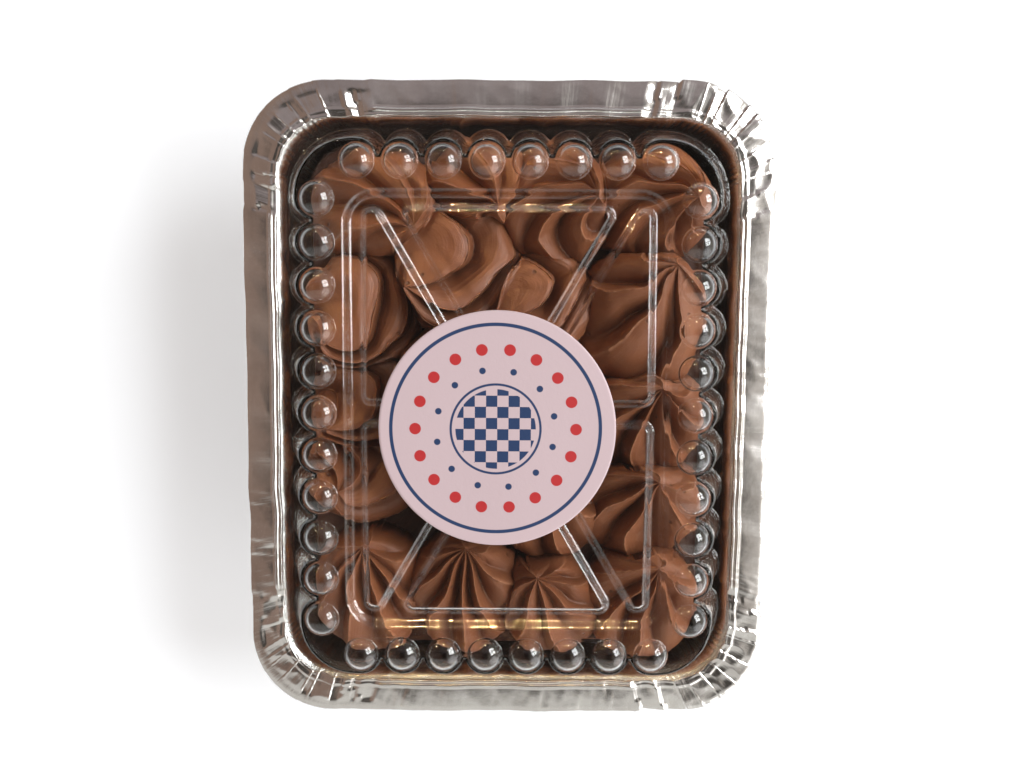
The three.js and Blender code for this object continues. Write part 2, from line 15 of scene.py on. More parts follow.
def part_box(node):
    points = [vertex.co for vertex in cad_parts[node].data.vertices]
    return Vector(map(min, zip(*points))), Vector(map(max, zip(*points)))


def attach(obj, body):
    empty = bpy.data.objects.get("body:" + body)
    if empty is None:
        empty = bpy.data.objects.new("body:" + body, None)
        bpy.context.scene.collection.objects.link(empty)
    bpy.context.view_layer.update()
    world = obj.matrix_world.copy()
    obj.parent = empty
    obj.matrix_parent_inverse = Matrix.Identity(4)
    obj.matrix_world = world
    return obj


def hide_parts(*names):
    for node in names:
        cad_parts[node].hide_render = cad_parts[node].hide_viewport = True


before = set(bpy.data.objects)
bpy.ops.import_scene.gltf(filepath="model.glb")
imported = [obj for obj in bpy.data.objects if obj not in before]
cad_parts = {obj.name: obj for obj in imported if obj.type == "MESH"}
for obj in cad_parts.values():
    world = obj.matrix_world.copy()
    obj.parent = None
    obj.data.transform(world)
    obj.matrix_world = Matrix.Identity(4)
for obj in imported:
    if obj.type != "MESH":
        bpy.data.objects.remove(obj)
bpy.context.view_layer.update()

MM = 0.001
TURN = 2 * math.pi


def node_box(node):
    """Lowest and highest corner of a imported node, in millimetres."""
    low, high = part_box(node)
    return np.array(low) / MM, np.array(high) / MM


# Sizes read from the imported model, and the half lengths of the tray's rim
label_low, label_high = node_box("sticker")
sponge_low, sponge_high = node_box("sponge")
COAT_TOP = node_box("frosting_coat")[1][2]
LABEL_X, LABEL_Y = (label_low[:2] + label_high[:2]) / 2
LABEL_RADIUS = (label_high[0] - label_low[0]) / 2
RIM_X, RIM_Y = 59.0, 72.0


# Meshes from arrays

def new_sheet():
    """An empty surface: arrays of points, arrays of faces, which faces are level, and the points so far."""
    return SimpleNamespace(points=[], faces=[], level=[], count=0)


def add_points(sheet, points):
    """Adds points of any grid shape and gives back their numbers in the same shape."""
    flat = np.asarray(points, float).reshape(-1, 3)
    first = sheet.count
    sheet.points.append(flat)
    sheet.count += len(flat)
    return np.arange(first, first + len(flat)).reshape(np.shape(points)[:-1])


def add_faces(sheet, faces, level=False):
    """Faces given by the numbers of their points; level ones are shaded flat."""
    sheet.faces.append(faces)
    sheet.level.append(np.full(len(faces), level))


def add_strips(sheet, rows):
    """Quads between each row of a closed grid and the next: a point, the one beside it and the two above."""
    lower, upper = rows[:-1], rows[1:]
    quads = np.stack([lower, np.roll(lower, -1, 1), np.roll(upper, -1, 1), upper], -1)
    add_faces(sheet, quads.reshape(-1, 4))


def add_fan(sheet, ring, centre, upward):
    """Triangles from each side of a ring to its middle point."""
    hub = add_points(sheet, [centre])[0]
    after = np.roll(ring, -1)
    first, second = (ring, after) if upward else (after, ring)
    add_faces(sheet, np.stack([first, second, np.full(len(ring), hub)], -1))


def add_rings(sheet, places, heights):
    """Strips between level loops, each at its own height: the numbers of their points."""
    heights = np.broadcast_to(heights[:, None, None], (*places.shape[:2], 1))
    numbers = add_points(sheet, np.concatenate([places, heights], -1))
    add_strips(sheet, numbers)
    return numbers


def closed_sheet(rows, start, end):
    """A surface of strips between rings, closed by a fan to a middle point at each end."""
    sheet = new_sheet()
    rings = add_points(sheet, rows)
    add_strips(sheet, rings)
    add_fan(sheet, rings[0], start, False)
    add_fan(sheet, rings[-1], end, True)
    return sheet


def add_flat(sheet, outline, holes=()):
    """Triangles that fill a level outline with holes, facing up."""
    points, loops = np.concatenate(sheet.points), [outline, *holes]
    numbers = np.concatenate(loops)
    found = tessellate_polygon([[Vector((*points[i][:2], 0)) for i in loop] for loop in loops])
    triangles = numbers[np.array(found)]
    a, b, c = (points[triangles[:, k]][:, :2] for k in range(3))
    turn = (b[:, 0] - a[:, 0]) * (c[:, 1] - a[:, 1]) - (b[:, 1] - a[:, 1]) * (c[:, 0] - a[:, 0])
    triangles[turn < 0] = triangles[turn < 0][:, ::-1]
    add_faces(sheet, triangles, True)


def add_object(name, data):
    item = bpy.data.objects.new(name, data)
    bpy.context.scene.collection.objects.link(item)
    return item


def add_piece(name, sheet, material, node):
    """A smooth mesh object from a surface in millimetres, riding on the part and standing for its node."""
    mesh = bpy.data.meshes.new(name)
    faces = [face for part in sheet.faces for face in part.tolist()]
    mesh.from_pydata((np.concatenate(sheet.points) * MM).tolist(), [], faces)
    mesh.polygons.foreach_set("use_smooth", ~np.concatenate(sheet.level))
    mesh.materials.append(material)
    piece = add_object(name, mesh)
    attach(piece, "root")
    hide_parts(node)
    return piece


def add_measure(piece, name, values):
    """Stores a number for each point of a piece, for its material to read, and 0 for its end points."""
    values = np.append(values, np.zeros(len(piece.data.vertices) - np.size(values)))
    measure = piece.data.attributes.new(name, "FLOAT", "POINT")
    measure.data.foreach_set("value", values.astype(np.float32))


def add_flow(piece, name, across, along):
    """A UV map from places across and along the surface at each point, and 0 at the two end points."""
    places = np.stack(np.broadcast_arrays(across, along), -1).reshape(-1, 2)
    places = np.append(places, np.zeros((2, 2)), 0).astype(np.float32)
    corner = np.empty(len(piece.data.loops), np.int32)
    piece.data.loops.foreach_get("vertex_index", corner)
    piece.data.uv_layers.new(name=name).data.foreach_set("uv", places[corner].ravel())


def mix(a, b, share):
    return a + (b - a) * share


def ripple(x, y, wavelength, seed, waves=9):
    """Smooth unevenness of about -1 to 1: the sum of plane waves in seeded directions and phases."""
    random = np.random.default_rng(seed)
    total = np.zeros(np.broadcast(x, y).shape)
    for _ in range(waves):
        heading = random.uniform(0, TURN)
        rate = TURN / (wavelength * random.uniform(0.7, 1.4))
        total += np.sin(rate * (x * math.cos(heading) + y * math.sin(heading)) + random.uniform(0, TURN))
    return total / math.sqrt(waves)


def creases(x, y, wavelength, seed):
    """Sharp folds of up to 1: one less the size of a ripple, whose zeros stand up as edges."""
    return 1 - np.abs(ripple(x, y, wavelength, seed, 5))


# Rounded rectangles, walked anticlockwise from the right end of the right top corner

def path_columns(corner_steps, short_steps, long_steps):
    """For each column of a walk: its quarter, its outward angle and its share along a side."""
    quarters, angles, sides = [], [], []
    for quarter in range(4):
        step = np.arange(corner_steps + 1) / corner_steps
        side_steps = short_steps if quarter % 2 == 0 else long_steps
        along = np.arange(1, side_steps) / side_steps
        quarters.append(np.full(corner_steps + side_steps, quarter))
        angles.append(np.append(quarter + step, np.full(len(along), quarter + 1)) * TURN / 4)
        sides.append(np.append(np.zeros(len(step)), along))
    return [np.concatenate(part) for part in (quarters, angles, sides)]


def path_points(columns, half_x, half_y, radius):
    """Places on rounded rectangles: corner centre plus the radius, then straight on along the side."""
    quarter, angle, along = columns
    sign_x = np.where((quarter == 0) | (quarter == 3), 1, -1)
    sign_y = np.where(quarter < 2, 1, -1)
    side = 2 * along * np.where(quarter % 2 == 0, half_x - radius, half_y - radius)
    x = sign_x * (half_x - radius) + radius * np.cos(angle) - np.sin(angle) * side
    y = sign_y * (half_y - radius) + radius * np.sin(angle) + np.cos(angle) * side
    return x, y


# Materials

def set_inputs(node, inputs):
    """Links each input that is given a socket, and sets each that is given a value."""
    for key, value in inputs.items():
        if isinstance(value, bpy.types.NodeSocket):
            node.id_data.links.new(value, node.inputs[key])
        else:
            node.inputs[key].default_value = value


def add_node(tree, kind, inputs=None, **settings):
    """A shader node with its settings and its inputs."""
    node = tree.nodes.new(kind)
    for key, value in settings.items():
        setattr(node, key, value)
    set_inputs(node, inputs or {})
    return node


def calculate(tree, operation, *values):
    """A sum, product or other calculation on up to three values."""
    return add_node(tree, "ShaderNodeMath", dict(enumerate(values)), operation=operation).outputs[0]


def noise(tree, place, scale, detail, **others):
    inputs = {"Vector": place, "Scale": scale, "Detail": detail, **others}
    return add_node(tree, "ShaderNodeTexNoise", inputs).outputs["Fac"]


def spread(tree, value, start=0.0, end=1.0, low=0.0, high=1.0, **settings):
    """A value that runs from start to end, made to run from low to high."""
    inputs = {"Value": value, "From Min": start, "From Max": end, "To Min": low, "To Max": high}
    return add_node(tree, "ShaderNodeMapRange", inputs, **settings).outputs[0]


def lay_over(tree, share, under, over):
    """One colour laid over another by a share."""
    return add_node(tree, "ShaderNodeMix", {0: share, 6: under, 7: over}, data_type="RGBA").outputs[2]


def bump(tree, height, distance, **under):
    """A normal tilted by the slope of a height times a distance in metres."""
    inputs = {"Height": height, "Distance": distance, "Strength": 1.0, **under}
    return add_node(tree, "ShaderNodeBump", inputs).outputs[0]


def new_group(name, inputs, outputs):
    """An empty shader node group with named sockets: its tree, its given values and its output node."""
    tree = bpy.data.node_groups.new(name, "ShaderNodeTree")
    for direction, sockets in (("INPUT", inputs), ("OUTPUT", outputs)):
        for socket, kind in sockets.items():
            tree.interface.new_socket(socket, in_out=direction, socket_type=f"NodeSocket{kind}")
    return tree, tree.nodes.new("NodeGroupInput").outputs, tree.nodes.new("NodeGroupOutput")


def mottle_group():
    """Colour that wanders between a darker and a lighter tone with noise."""
    inputs = {"Place": "Vector", "Dark": "Color", "Light": "Color", "Scale": "Float", "Detail": "Float"}
    tree, given, result = new_group("mottle", inputs, {"Colour": "Color", "Value": "Float"})
    cloud = noise(tree, given["Place"], given["Scale"], given["Detail"], Roughness=0.6)
    value = spread(tree, cloud, 0.3, 0.7)
    set_inputs(result, {"Colour": lay_over(tree, value, given["Dark"], given["Light"]), "Value": value})
    return tree


def relief_group():
    """Two sizes of noise as a bumped normal: a coarse one and a grain a set number of times finer."""
    inputs = {"Place": "Vector", "Scale": "Float", "Finer": "Float", "Grain": "Float", "Height": "Float"}
    tree, given, result = new_group("relief", inputs, {"Normal": "Vector"})
    coarse = noise(tree, given["Place"], given["Scale"], 3.0)
    finer = calculate(tree, "MULTIPLY", given["Scale"], given["Finer"])
    grain = noise(tree, given["Place"], finer, 2.0)
    height = calculate(tree, "MULTIPLY_ADD", grain, given["Grain"], coarse)
    set_inputs(result, {"Normal": bump(tree, height, given["Height"])})
    return tree


mottle = mottle_group()
relief = relief_group()


def mottled(tree, place, dark, light, scale, detail):
    """The mottle group in a material, with a dark and a light colour: its outputs."""
    inputs = {"Place": place, "Dark": (*dark, 1), "Light": (*light, 1), "Scale": scale, "Detail": detail}
    return add_node(tree, "ShaderNodeGroup", inputs, node_tree=mottle).outputs


def roughened(tree, place, scale, finer, grain, height):
    """The relief group in a material, with its height in metres: its normal."""
    inputs = {"Place": place, "Scale": scale, "Finer": finer, "Grain": grain, "Height": height}
    return add_node(tree, "ShaderNodeGroup", inputs, node_tree=relief).outputs["Normal"]


def new_material(name):
    """A material with a Principled shader on its output: the tree and the shader."""
    material = bpy.data.materials.new(name)
    material.use_nodes = True
    tree = material.node_tree
    tree.nodes.clear()
    shader = add_node(tree, "ShaderNodeBsdfPrincipled")
    add_node(tree, "ShaderNodeOutputMaterial", {"Surface": shader.outputs[0]})
    return material, tree, shader


def show_either(tree, share, first, second):
    """Puts a mix of two shaders on the output."""
    both = add_node(tree, "ShaderNodeMixShader", {0: share, 1: first.outputs[0], 2: second.outputs[0]})
    set_inputs(tree.get_output_node("ALL"), {"Surface": both.outputs[0]})


def object_place(tree, centre=(0, 0, 0), stretch=(1, 1, 1)):
    """Object coordinates about a centre, in metres, stretched along each axis."""
    place = add_node(tree, "ShaderNodeTexCoord").outputs["Object"]
    shift = [-c * s for c, s in zip(centre, stretch)]
    inputs = {"Vector": place, "Location": shift, "Scale": stretch}
    return add_node(tree, "ShaderNodeMapping", inputs).outputs[0]


def flow_place(tree, name, stretch):
    """Places on a UV map that runs with the surface, stretched along each axis."""
    flow = add_node(tree, "ShaderNodeUVMap", uv_map=name).outputs[0]
    return add_node(tree, "ShaderNodeMapping", {"Vector": flow, "Scale": stretch}).outputs[0]


def measured(tree, name):
    return add_node(tree, "ShaderNodeAttribute", attribute_name=name).outputs["Fac"]


# Colours of the finishes, dark and light where they are mottled, then painted shade and a painted highlight
# for the frosting
FOIL_TONES = (0.62, 0.6, 0.58), (0.78, 0.77, 0.75)
FROSTING_TONES = (0.188, 0.063, 0.026), (0.255, 0.092, 0.04)
# Painted shade, laid over the frosting down in its creases and over the whole spread coat
FROSTING_PAINTED_SHADE = (0.06, 0.019, 0.009, 1)
# Painted highlight, laid along the frosting's thin crests for the light they catch and let through
FROSTING_CREST_HIGHLIGHT = (0.42, 0.19, 0.1, 1)
# Painted shade inside the burst air pits
FROSTING_PIT_SHADE = (0.05, 0.02, 0.011, 1)
SPONGE_TONES = (0.018, 0.008, 0.005), (0.05, 0.022, 0.012)
PINK = (0.58, 0.46, 0.49, 1)
PINK_MARGIN = (0.6, 0.475, 0.505, 1)
NAVY = (0.014, 0.04, 0.12, 1)
RED = (0.47, 0.025, 0.028, 1)


def foil_material():
    """Rolled aluminium foil: bright metal with a faint mottle, fine crinkles and lines across the rim."""
    material, tree, shader = new_material("foil")
    place = object_place(tree)
    tone = mottled(tree, place, *FOIL_TONES, scale=90.0, detail=4.0)
    crinkle = roughened(tree, place, scale=300.0, finer=3.5, grain=0.25, height=0.00004)
    line = noise(tree, flow_place(tree, "round_rim", (0.9, 0.06, 1.0)), 1.0, 2.0)
    set_inputs(shader, {
        "Base Color": tone["Colour"], "Roughness": spread(tree, tone["Value"], low=0.15, high=0.26),
        "Metallic": 1.0, "Normal": bump(tree, line, 0.00006, Normal=crinkle)})
    return material


def clear_material():
    """Clear formed sheet: bends light as the real one does, and lets lamps reach what lies under it."""
    material, tree, shader = new_material("clear_plastic")
    wave = roughened(tree, object_place(tree), scale=140.0, finer=4.0, grain=0.1, height=0.00004)
    drawn = noise(tree, object_place(tree, stretch=(1, 1, 0.12)), 1500.0, 2.0)
    lines = calculate(tree, "MULTIPLY", drawn, measured(tree, "drawn_wall"))
    set_inputs(shader, {
        "Base Color": (0.97, 0.98, 0.98, 1), "Roughness": 0.03, "IOR": 1.5, "Transmission Weight": 1.0,
        "Normal": bump(tree, lines, 0.00025, Normal=wave)})
    path = add_node(tree, "ShaderNodeLightPath").outputs
    passing = calculate(tree, "MAXIMUM", path["Is Shadow Ray"], path["Is Diffuse Ray"])
    film = add_node(tree, "ShaderNodeBsdfTransparent", {"Color": (0.94, 0.95, 0.95, 1)})
    show_either(tree, passing, shader, film)
    return material


def frosting_material():
    """Chocolate buttercream: mid brown, with painted shade darkening it down in its creases and a painted
    highlight lightening its thin crests, with faint drawn streaks, fine pores and a few burst air pits
    darkened with painted shade."""
    material, tree, shader = new_material("frosting")
    place = object_place(tree)
    tone = mottled(tree, place, *FROSTING_TONES, scale=90.0, detail=5.0)

    def toned(mask, reach, colour, under):
        """Another colour laid over by a mask, up to a greatest share."""
        return lay_over(tree, spread(tree, mask, high=reach, clamp=False), under, colour)

    # Painted shade darkens the frosting where its lobes dip into creases, and all over the spread coat
    colour = toned(measured(tree, "painted_shade"), 0.64, FROSTING_PAINTED_SHADE, tone["Colour"])
    # Painted highlight lightens the frosting along its thin crests
    colour = toned(measured(tree, "crest"), 0.5, FROSTING_CREST_HIGHLIGHT, colour)
    pits = add_node(tree, "ShaderNodeTexVoronoi", {"Vector": place, "Scale": 330.0}).outputs
    burst = spread(tree, pits["Distance"], 0.1, 0.17, 1.0, 0.0)
    chance = add_node(tree, "ShaderNodeSeparateColor", {0: pits["Color"]}).outputs[0]
    pit = calculate(tree, "MULTIPLY", burst, spread(tree, chance, 0.84, 0.87))
    # Painted shade darkens the burst air pits, which the bump below also dents
    colour = toned(pit, 0.6, FROSTING_PIT_SHADE, colour)
    streak = noise(tree, flow_place(tree, "flow", (1.0, 0.06, 1.0)), 9.0, 3.0)
    pores = noise(tree, place, 2200.0, 2.0)
    grain = calculate(tree, "MULTIPLY_ADD", pores, 0.45, streak)
    dented = calculate(tree, "MULTIPLY_ADD", pit, -2.5, grain)
    set_inputs(shader, {
        "Base Color": colour, "Roughness": spread(tree, tone["Value"], low=0.4, high=0.52),
        "Specular IOR Level": 0.35, "Normal": bump(tree, dented, 0.00009)})
    return material


def sponge_material():
    """Baked chocolate sponge: dark and dull, with open pores."""
    material, tree, shader = new_material("sponge")
    place = object_place(tree)
    tone = mottled(tree, place, *SPONGE_TONES, scale=260.0, detail=5.0)
    pores = roughened(tree, place, scale=500.0, finer=3.0, grain=0.6, height=0.0006)
    set_inputs(shader, {"Base Color": tone["Colour"], "Roughness": 0.85, "Normal": pores})
    return material


# Sticker print, in millimetres from the middle of the print: for dots their number, the radius of their ring,
# their own radius and how far they are turned
PRINT_SHIFT = 0.35
RING_RADIUS = 22.4
RING_WIDTH = 0.75
INNER_RADIUS = 9.6
INNER_WIDTH = 0.5
DISC_RADIUS = 8.6
CHECK_SIDE = 2.4
RED_DOTS = (18, 17.2, 1.25, 0.0)
NAVY_DOTS = (12, 12.8, 0.7, 0.3)


def sticker_material():
    """Printed paper: pale pink, with a navy ring, a ring of red dots and a checked disc in navy."""
    material, tree, shader = new_material("sticker_paper")
    place = object_place(tree, [c * MM for c in (LABEL_X, LABEL_Y, 0)], (1 / MM, 1 / MM, 1 / MM))

    def work(operation, *values):
        return calculate(tree, operation, *values)

    def length(a, b):
        """Root of the sum of two squares."""
        return work("SQRT", work("MULTIPLY_ADD", a, a, work("MULTIPLY", b, b)))

    def within(distance, limit, blur=0.06):
        """1 where a distance is under its limit, with a thin soft edge."""
        return spread(tree, distance, limit + blur, limit - blur)

    parts = add_node(tree, "ShaderNodeSeparateXYZ", {0: place}).outputs
    x, y = work("ADD", parts[0], PRINT_SHIFT), parts[1]
    radius, angle = length(x, y), work("ARCTAN2", y, x)

    def ring(middle, width):
        return within(work("ABSOLUTE", work("SUBTRACT", radius, middle)), width / 2)

    def dots(count, middle, size, turn):
        """Round dots, evenly spaced on a ring: the distance to the nearest one's middle is under its size."""
        local = work("PINGPONG", work("ADD", angle, TURN * 2 + turn), TURN / count / 2)
        across = work("MULTIPLY", radius, work("SINE", local))
        out = work("SUBTRACT", work("MULTIPLY", radius, work("COSINE", local)), middle)
        return within(length(across, out), size)

    inputs = {"Vector": place, "Color1": (1, 1, 1, 1), "Color2": (0, 0, 0, 1), "Scale": 1 / CHECK_SIDE}
    checks = add_node(tree, "ShaderNodeTexChecker", inputs).outputs["Fac"]
    colour = PINK
    for ink, mask in (
        (PINK_MARGIN, within(work("SUBTRACT", 0.0, radius), -RING_RADIUS)),
        (NAVY, ring(RING_RADIUS, RING_WIDTH)),
        (NAVY, ring(INNER_RADIUS, INNER_WIDTH)),
        (NAVY, work("MULTIPLY", checks, within(radius, DISC_RADIUS))),
        (RED, dots(*RED_DOTS)),
        (NAVY, dots(*NAVY_DOTS)),
    ):
        colour = lay_over(tree, mask, colour, ink)
    fibre = roughened(tree, object_place(tree), scale=900.0, finer=3.0, grain=0.5, height=0.00003)
    set_inputs(shader, {"Base Color": colour, "Roughness": 0.5, "Normal": fibre})
    return material


foil = foil_material()
clear = clear_material()
frosting = frosting_material()
crumb = sponge_material()
paper = sticker_material()


# Foil tray: a sheet carried round the rim, up the wall, over the lip and back under it

FOIL = 0.4
TRAY_HEIGHT = 39.4
BASE = {"half_x": 41.6, "half_y": 54.6, "radius": 11}
TOP = {"half_x": 50.8, "half_y": 63.8, "radius": 13.5}
FOOT_SHARE = 0.03
WALL_SHARES = np.linspace(0.06, 0.985, 14)
LIP_WIDTH = 8.5
LIP_TOP = 41.5
LIP_UNDER = 41.05
LIP_FALL = 0.5
LIP_FLAT = 6.2
RIM_RADIUS = 19
CORNER_LOSS = 0.65
FOLDED_REACH = 24.5
TAB_WIDTHS = (2.0, 6.2)
TAB_LEAN = 0.12
TRAY_COLUMNS = path_columns(150, 140, 180)

# How much of its width the lip keeps along the sides and the ends
LIP_NARROW_X, LIP_NARROW_Y = 0.92, 0.96

# How crushed each corner is and how high its tabs stand, anticlockwise from the right top one
CRUSHED = (0.3, 0.05, 0.12, 0.2)
TAB_RISE = (0.8, 1.5, 1.2, 0.8)

# Rows of the lip, by their inset from the rim and height: out under it, up round the rim, and back inside it.
# The hem at its inner edge has the inset from that edge, the height over the lip and the share of the bead.
LIP_BELOW = ((8.1, 39.4), (7.4, 39.55), (5, 39.6), (2.5, 39.75), (0.9, 39.9))
LIP_EDGE = ((0.3, 40.05), (0, 40.4), (0, 40.9), (0.12, 41.25), (0.5, 41.45))
LIP_BACK = ((0.95, 40.8), (0.85, 40.4), (1.2, 40.1), (3, 40.05), (6.5, 39.95), (8.2, 39.7))
HEM = ((2.0, 0, 0.15), (1.8, 0, 0.62), (1.5, 0, 0.8), (1.2, 0, 0.72), (1.0, 0, 0.5), (0.8, 0, 0.48),
       (0.55, 0, 0.66), (0.3, 0, 0.62), (0.1, 0, 0.4), (0, -0.1, 0.1), (0.1, -0.3, 0.0))


def wall_station(share, push):
    """Half lengths, corner radius and height at a share of the wall's height, moved outward."""
    return [*(mix(BASE[key], TOP[key], share) + push for key in BASE), TRAY_HEIGHT * share]


def lip_station(inset, z):
    """The same for the lip, which slopes down outward, more and more towards the rim."""
    z = z - LIP_FALL * max(0, 1 - inset / LIP_FLAT) ** 1.4
    return [RIM_X - LIP_NARROW_X * inset, RIM_Y - LIP_NARROW_Y * inset, RIM_RADIUS - inset * CORNER_LOSS, z]


def tray_stations():
    """Rows of the sheet's profile: half lengths, corner radius and height, then how much of the wall's
    flutes, the lip's folds and the hem's bead each row takes."""
    rows = []

    def row(station, flute=0.0, fold=0.0, bead=0.0):
        rows.append([*station, flute, fold, bead])

    for share in (0, 0.012, FOOT_SHARE):
        row(wall_station(share, -1.2 + 1.2 * (share / FOOT_SHARE) ** 0.5))
    for share in WALL_SHARES:
        row(wall_station(share, 0), flute=math.sin(math.pi * share) ** 0.5)
    for inset, z in LIP_BELOW:
        row(lip_station(inset, z), fold=0.3 + 0.04 * (8.1 - inset))
    for inset, z in LIP_EDGE:
        row(lip_station(inset, z), fold=0.6 + 0.4 * (z - 40.05) / 1.4)
    for inset in np.linspace(1.3, LIP_WIDTH - 2.3, 13):
        row(lip_station(inset, LIP_TOP), fold=1.0)
    for inset, z, bead in HEM:
        row(lip_station(LIP_WIDTH - inset, LIP_TOP + z), fold=0.9, bead=bead)
    for inset in (LIP_WIDTH - 0.6, LIP_WIDTH - 3, 3, 1.4):
        row(lip_station(inset, LIP_UNDER), fold=0.9)
    for inset, z in LIP_BACK:
        row(lip_station(inset, z), fold=0.3)
    for share in np.linspace(0.97, 0.06, 14):
        row(wall_station(share, -FOIL), flute=math.sin(math.pi * share) ** 0.5)
    for share in (FOOT_SHARE, 0.012):
        row(wall_station(share, -FOIL - 1.0 + 1.0 * (share / FOOT_SHARE) ** 0.5))
    row([*wall_station(0, -FOIL - 2.2)[:3], FOIL])
    return np.array(rows)


def folded_tabs(walk, inset, seed):
    """Tabs of foil folded over each other round a corner: each is a plane with its own height, tilt along the
    walk, tilt across the lip and shift outward, and the next one starts with a step."""
    random = np.random.default_rng(seed)
    ends = [0.0]
    while ends[-1] < walk.max():
        ends.append(ends[-1] + random.uniform(*TAB_WIDTHS))
    ends, leant = np.array(ends), walk + TAB_LEAN * inset
    number = np.clip(np.searchsorted(ends, leant, side="right") - 1, 0, len(ends) - 2)
    width = ends[number + 1] - ends[number]
    across = np.clip((leant - ends[number]) / width, 0, 1)
    height, tilt, slope, shift = random.uniform(-1, 1, (4, len(ends)))
    hem = np.exp(-((1 - across) * width / 0.35) ** 2)
    rise = 0.2 * height[number] + 0.85 * (across - 0.5) * (0.3 + 0.7 * tilt[number])
    rise = rise + 0.95 * slope[number] * (inset / LIP_WIDTH - 0.5) + 0.12 * hem
    return rise, 0.5 * shift[number] + 0.35 * (across - 0.5)


def make_tray():
    """The profile of tray_stations carried round the rim, with flutes in the wall, folded tabs at the corners
    of the lip with crumpled inner ends, and fine cross wrinkles on its straight bands."""
    half_x, half_y, radius, height, flute, fold, bead = tray_stations().T[:, :, None]
    x, y = path_points(TRAY_COLUMNS, half_x, half_y, radius)
    quarter, angle, _ = TRAY_COLUMNS
    rim_x, rim_y = path_points(TRAY_COLUMNS, RIM_X, RIM_Y, RIM_RADIUS)
    walk = np.concatenate([[0], np.cumsum(np.hypot(np.diff(rim_x), np.diff(rim_y)))])
    whole = walk[-1] + math.hypot(rim_x[0] - rim_x[-1], rim_y[0] - rim_y[-1])
    middles = [walk[quarter == q][0] + RIM_RADIUS * TURN / 8 for q in range(4)]
    apart = np.abs((walk[None] - np.array(middles)[:, None] + whole / 2) % whole - whole / 2)
    nearest, zone = apart.argmin(0), np.clip((FOLDED_REACH - apart.min(0)) / 1.2, 0, 1)
    inset = np.clip((RIM_X - half_x) / LIP_NARROW_X, 0, LIP_WIDTH)
    rise, shift = folded_tabs(walk[None] + 0 * inset, inset, 11)
    crushed, rise = np.array(CRUSHED)[nearest], rise * np.array(TAB_RISE)[nearest]
    crumple = 0.93 * creases(x, y, 7, 7) + 0.07 * creases(x, y, 2.5, 8) - 0.45
    inner_end = np.clip((inset - 5) / 2.5, 0, 1)
    left = np.clip(0.5 - rim_x / 40, 0, 1)
    plain_rim = mix(1, np.clip((inset - 2.4) / 0.7, 0, 1), left)
    folded = plain_rim * (rise + crumple * (0.02 + 0.12 * inner_end + 0.75 * crushed))
    some = np.clip(0.5 + ripple(walk, 0, 45, 13), 0, 1)
    wrinkles = 0.12 * creases(walk - 0.1 * inset, 0.2 * inset, 3.4, 5) * some
    bands = 0.1 * ripple(walk, inset * 0.3, 11, 3) + 0.06 * (creases(x, y, 12, 6) - 0.6) + wrinkles
    z = height + fold * mix(bands, folded, zone) + bead * (1 - 0.75 * zone)
    pleats = mix(0.15 * ripple(walk, 0, 5, 17), 0.75 * creases(walk, height * 0.1, 2.4, 18) - 0.4, zone)
    out = flute * (pleats + 0.1 * ripple(walk, height * 0.6, 5, 19))
    rim_side = np.clip(1 - inset / 5, 0, 1)
    out = out + fold * zone * (shift * rim_side * (1 - 0.8 * left) - 0.3 + 0.3 * inner_end * crumple)
    out = out + fold * (1 - zone) * (0.12 * ripple(walk, 0, 16, 23) - 0.1)
    rows = np.stack([x + np.cos(angle) * out, y + np.sin(angle) * out, z], -1)
    piece = add_piece("tray", closed_sheet(rows, (0, 0, 0), (0, 0, FOIL)), foil, "foil_tray")
    add_flow(piece, "round_rim", walk, inset + (TRAY_HEIGHT - z) * (inset == LIP_WIDTH))


# Clear lid: flange, scalloped wall, land with a dome on each bubble, sunken floor and six raised panels

SHEET = 0.42
FLANGE = {"half_x": 57.2, "half_y": 70.2, "radius": 17.5}
FLANGE_Z = 40.6
LAND_Z = 54
PITCH = 9.05
LONG_BUBBLES = 11
SHORT_BUBBLES = 8
FOOT = {"line_x": 43.9, "line_y": 56.4, "radius": 5, "spread": 62, "corner": 15}
CREST = {"line_x": 40.1, "line_y": 53.1, "radius": 4.3, "spread": 80, "corner": 11.6}
DOME_RADIUS = 3.85
DOME_HEIGHT = 2.6
FRAME_EDGE = (35.2, 47.7, 7.5)
FRAME_FOOT = (32.8, 45.3, 5.1)
FLOOR_Z = 52.2
PANEL_Z = 53.8
PANEL_WALL = 2.1
PANEL_ROUND = 2.7
PANEL_SLOPE = 1.73
END_PANEL_FAR = 44.7
SIDE_PANEL_NEAR, SIDE_PANEL_FAR = 1.2, 44.3
PANEL_RIB = 1.4
BUBBLE_STEPS = 9
ROUND_STEPS = 12
DOME_SIDES = 28
DOME_REACHES = (1, 0.975, 0.94, 0.88, 0.78, 0.65, 0.5, 0.34, 0.17)
DOME_FILLET = (0, 0.05, 0.22)


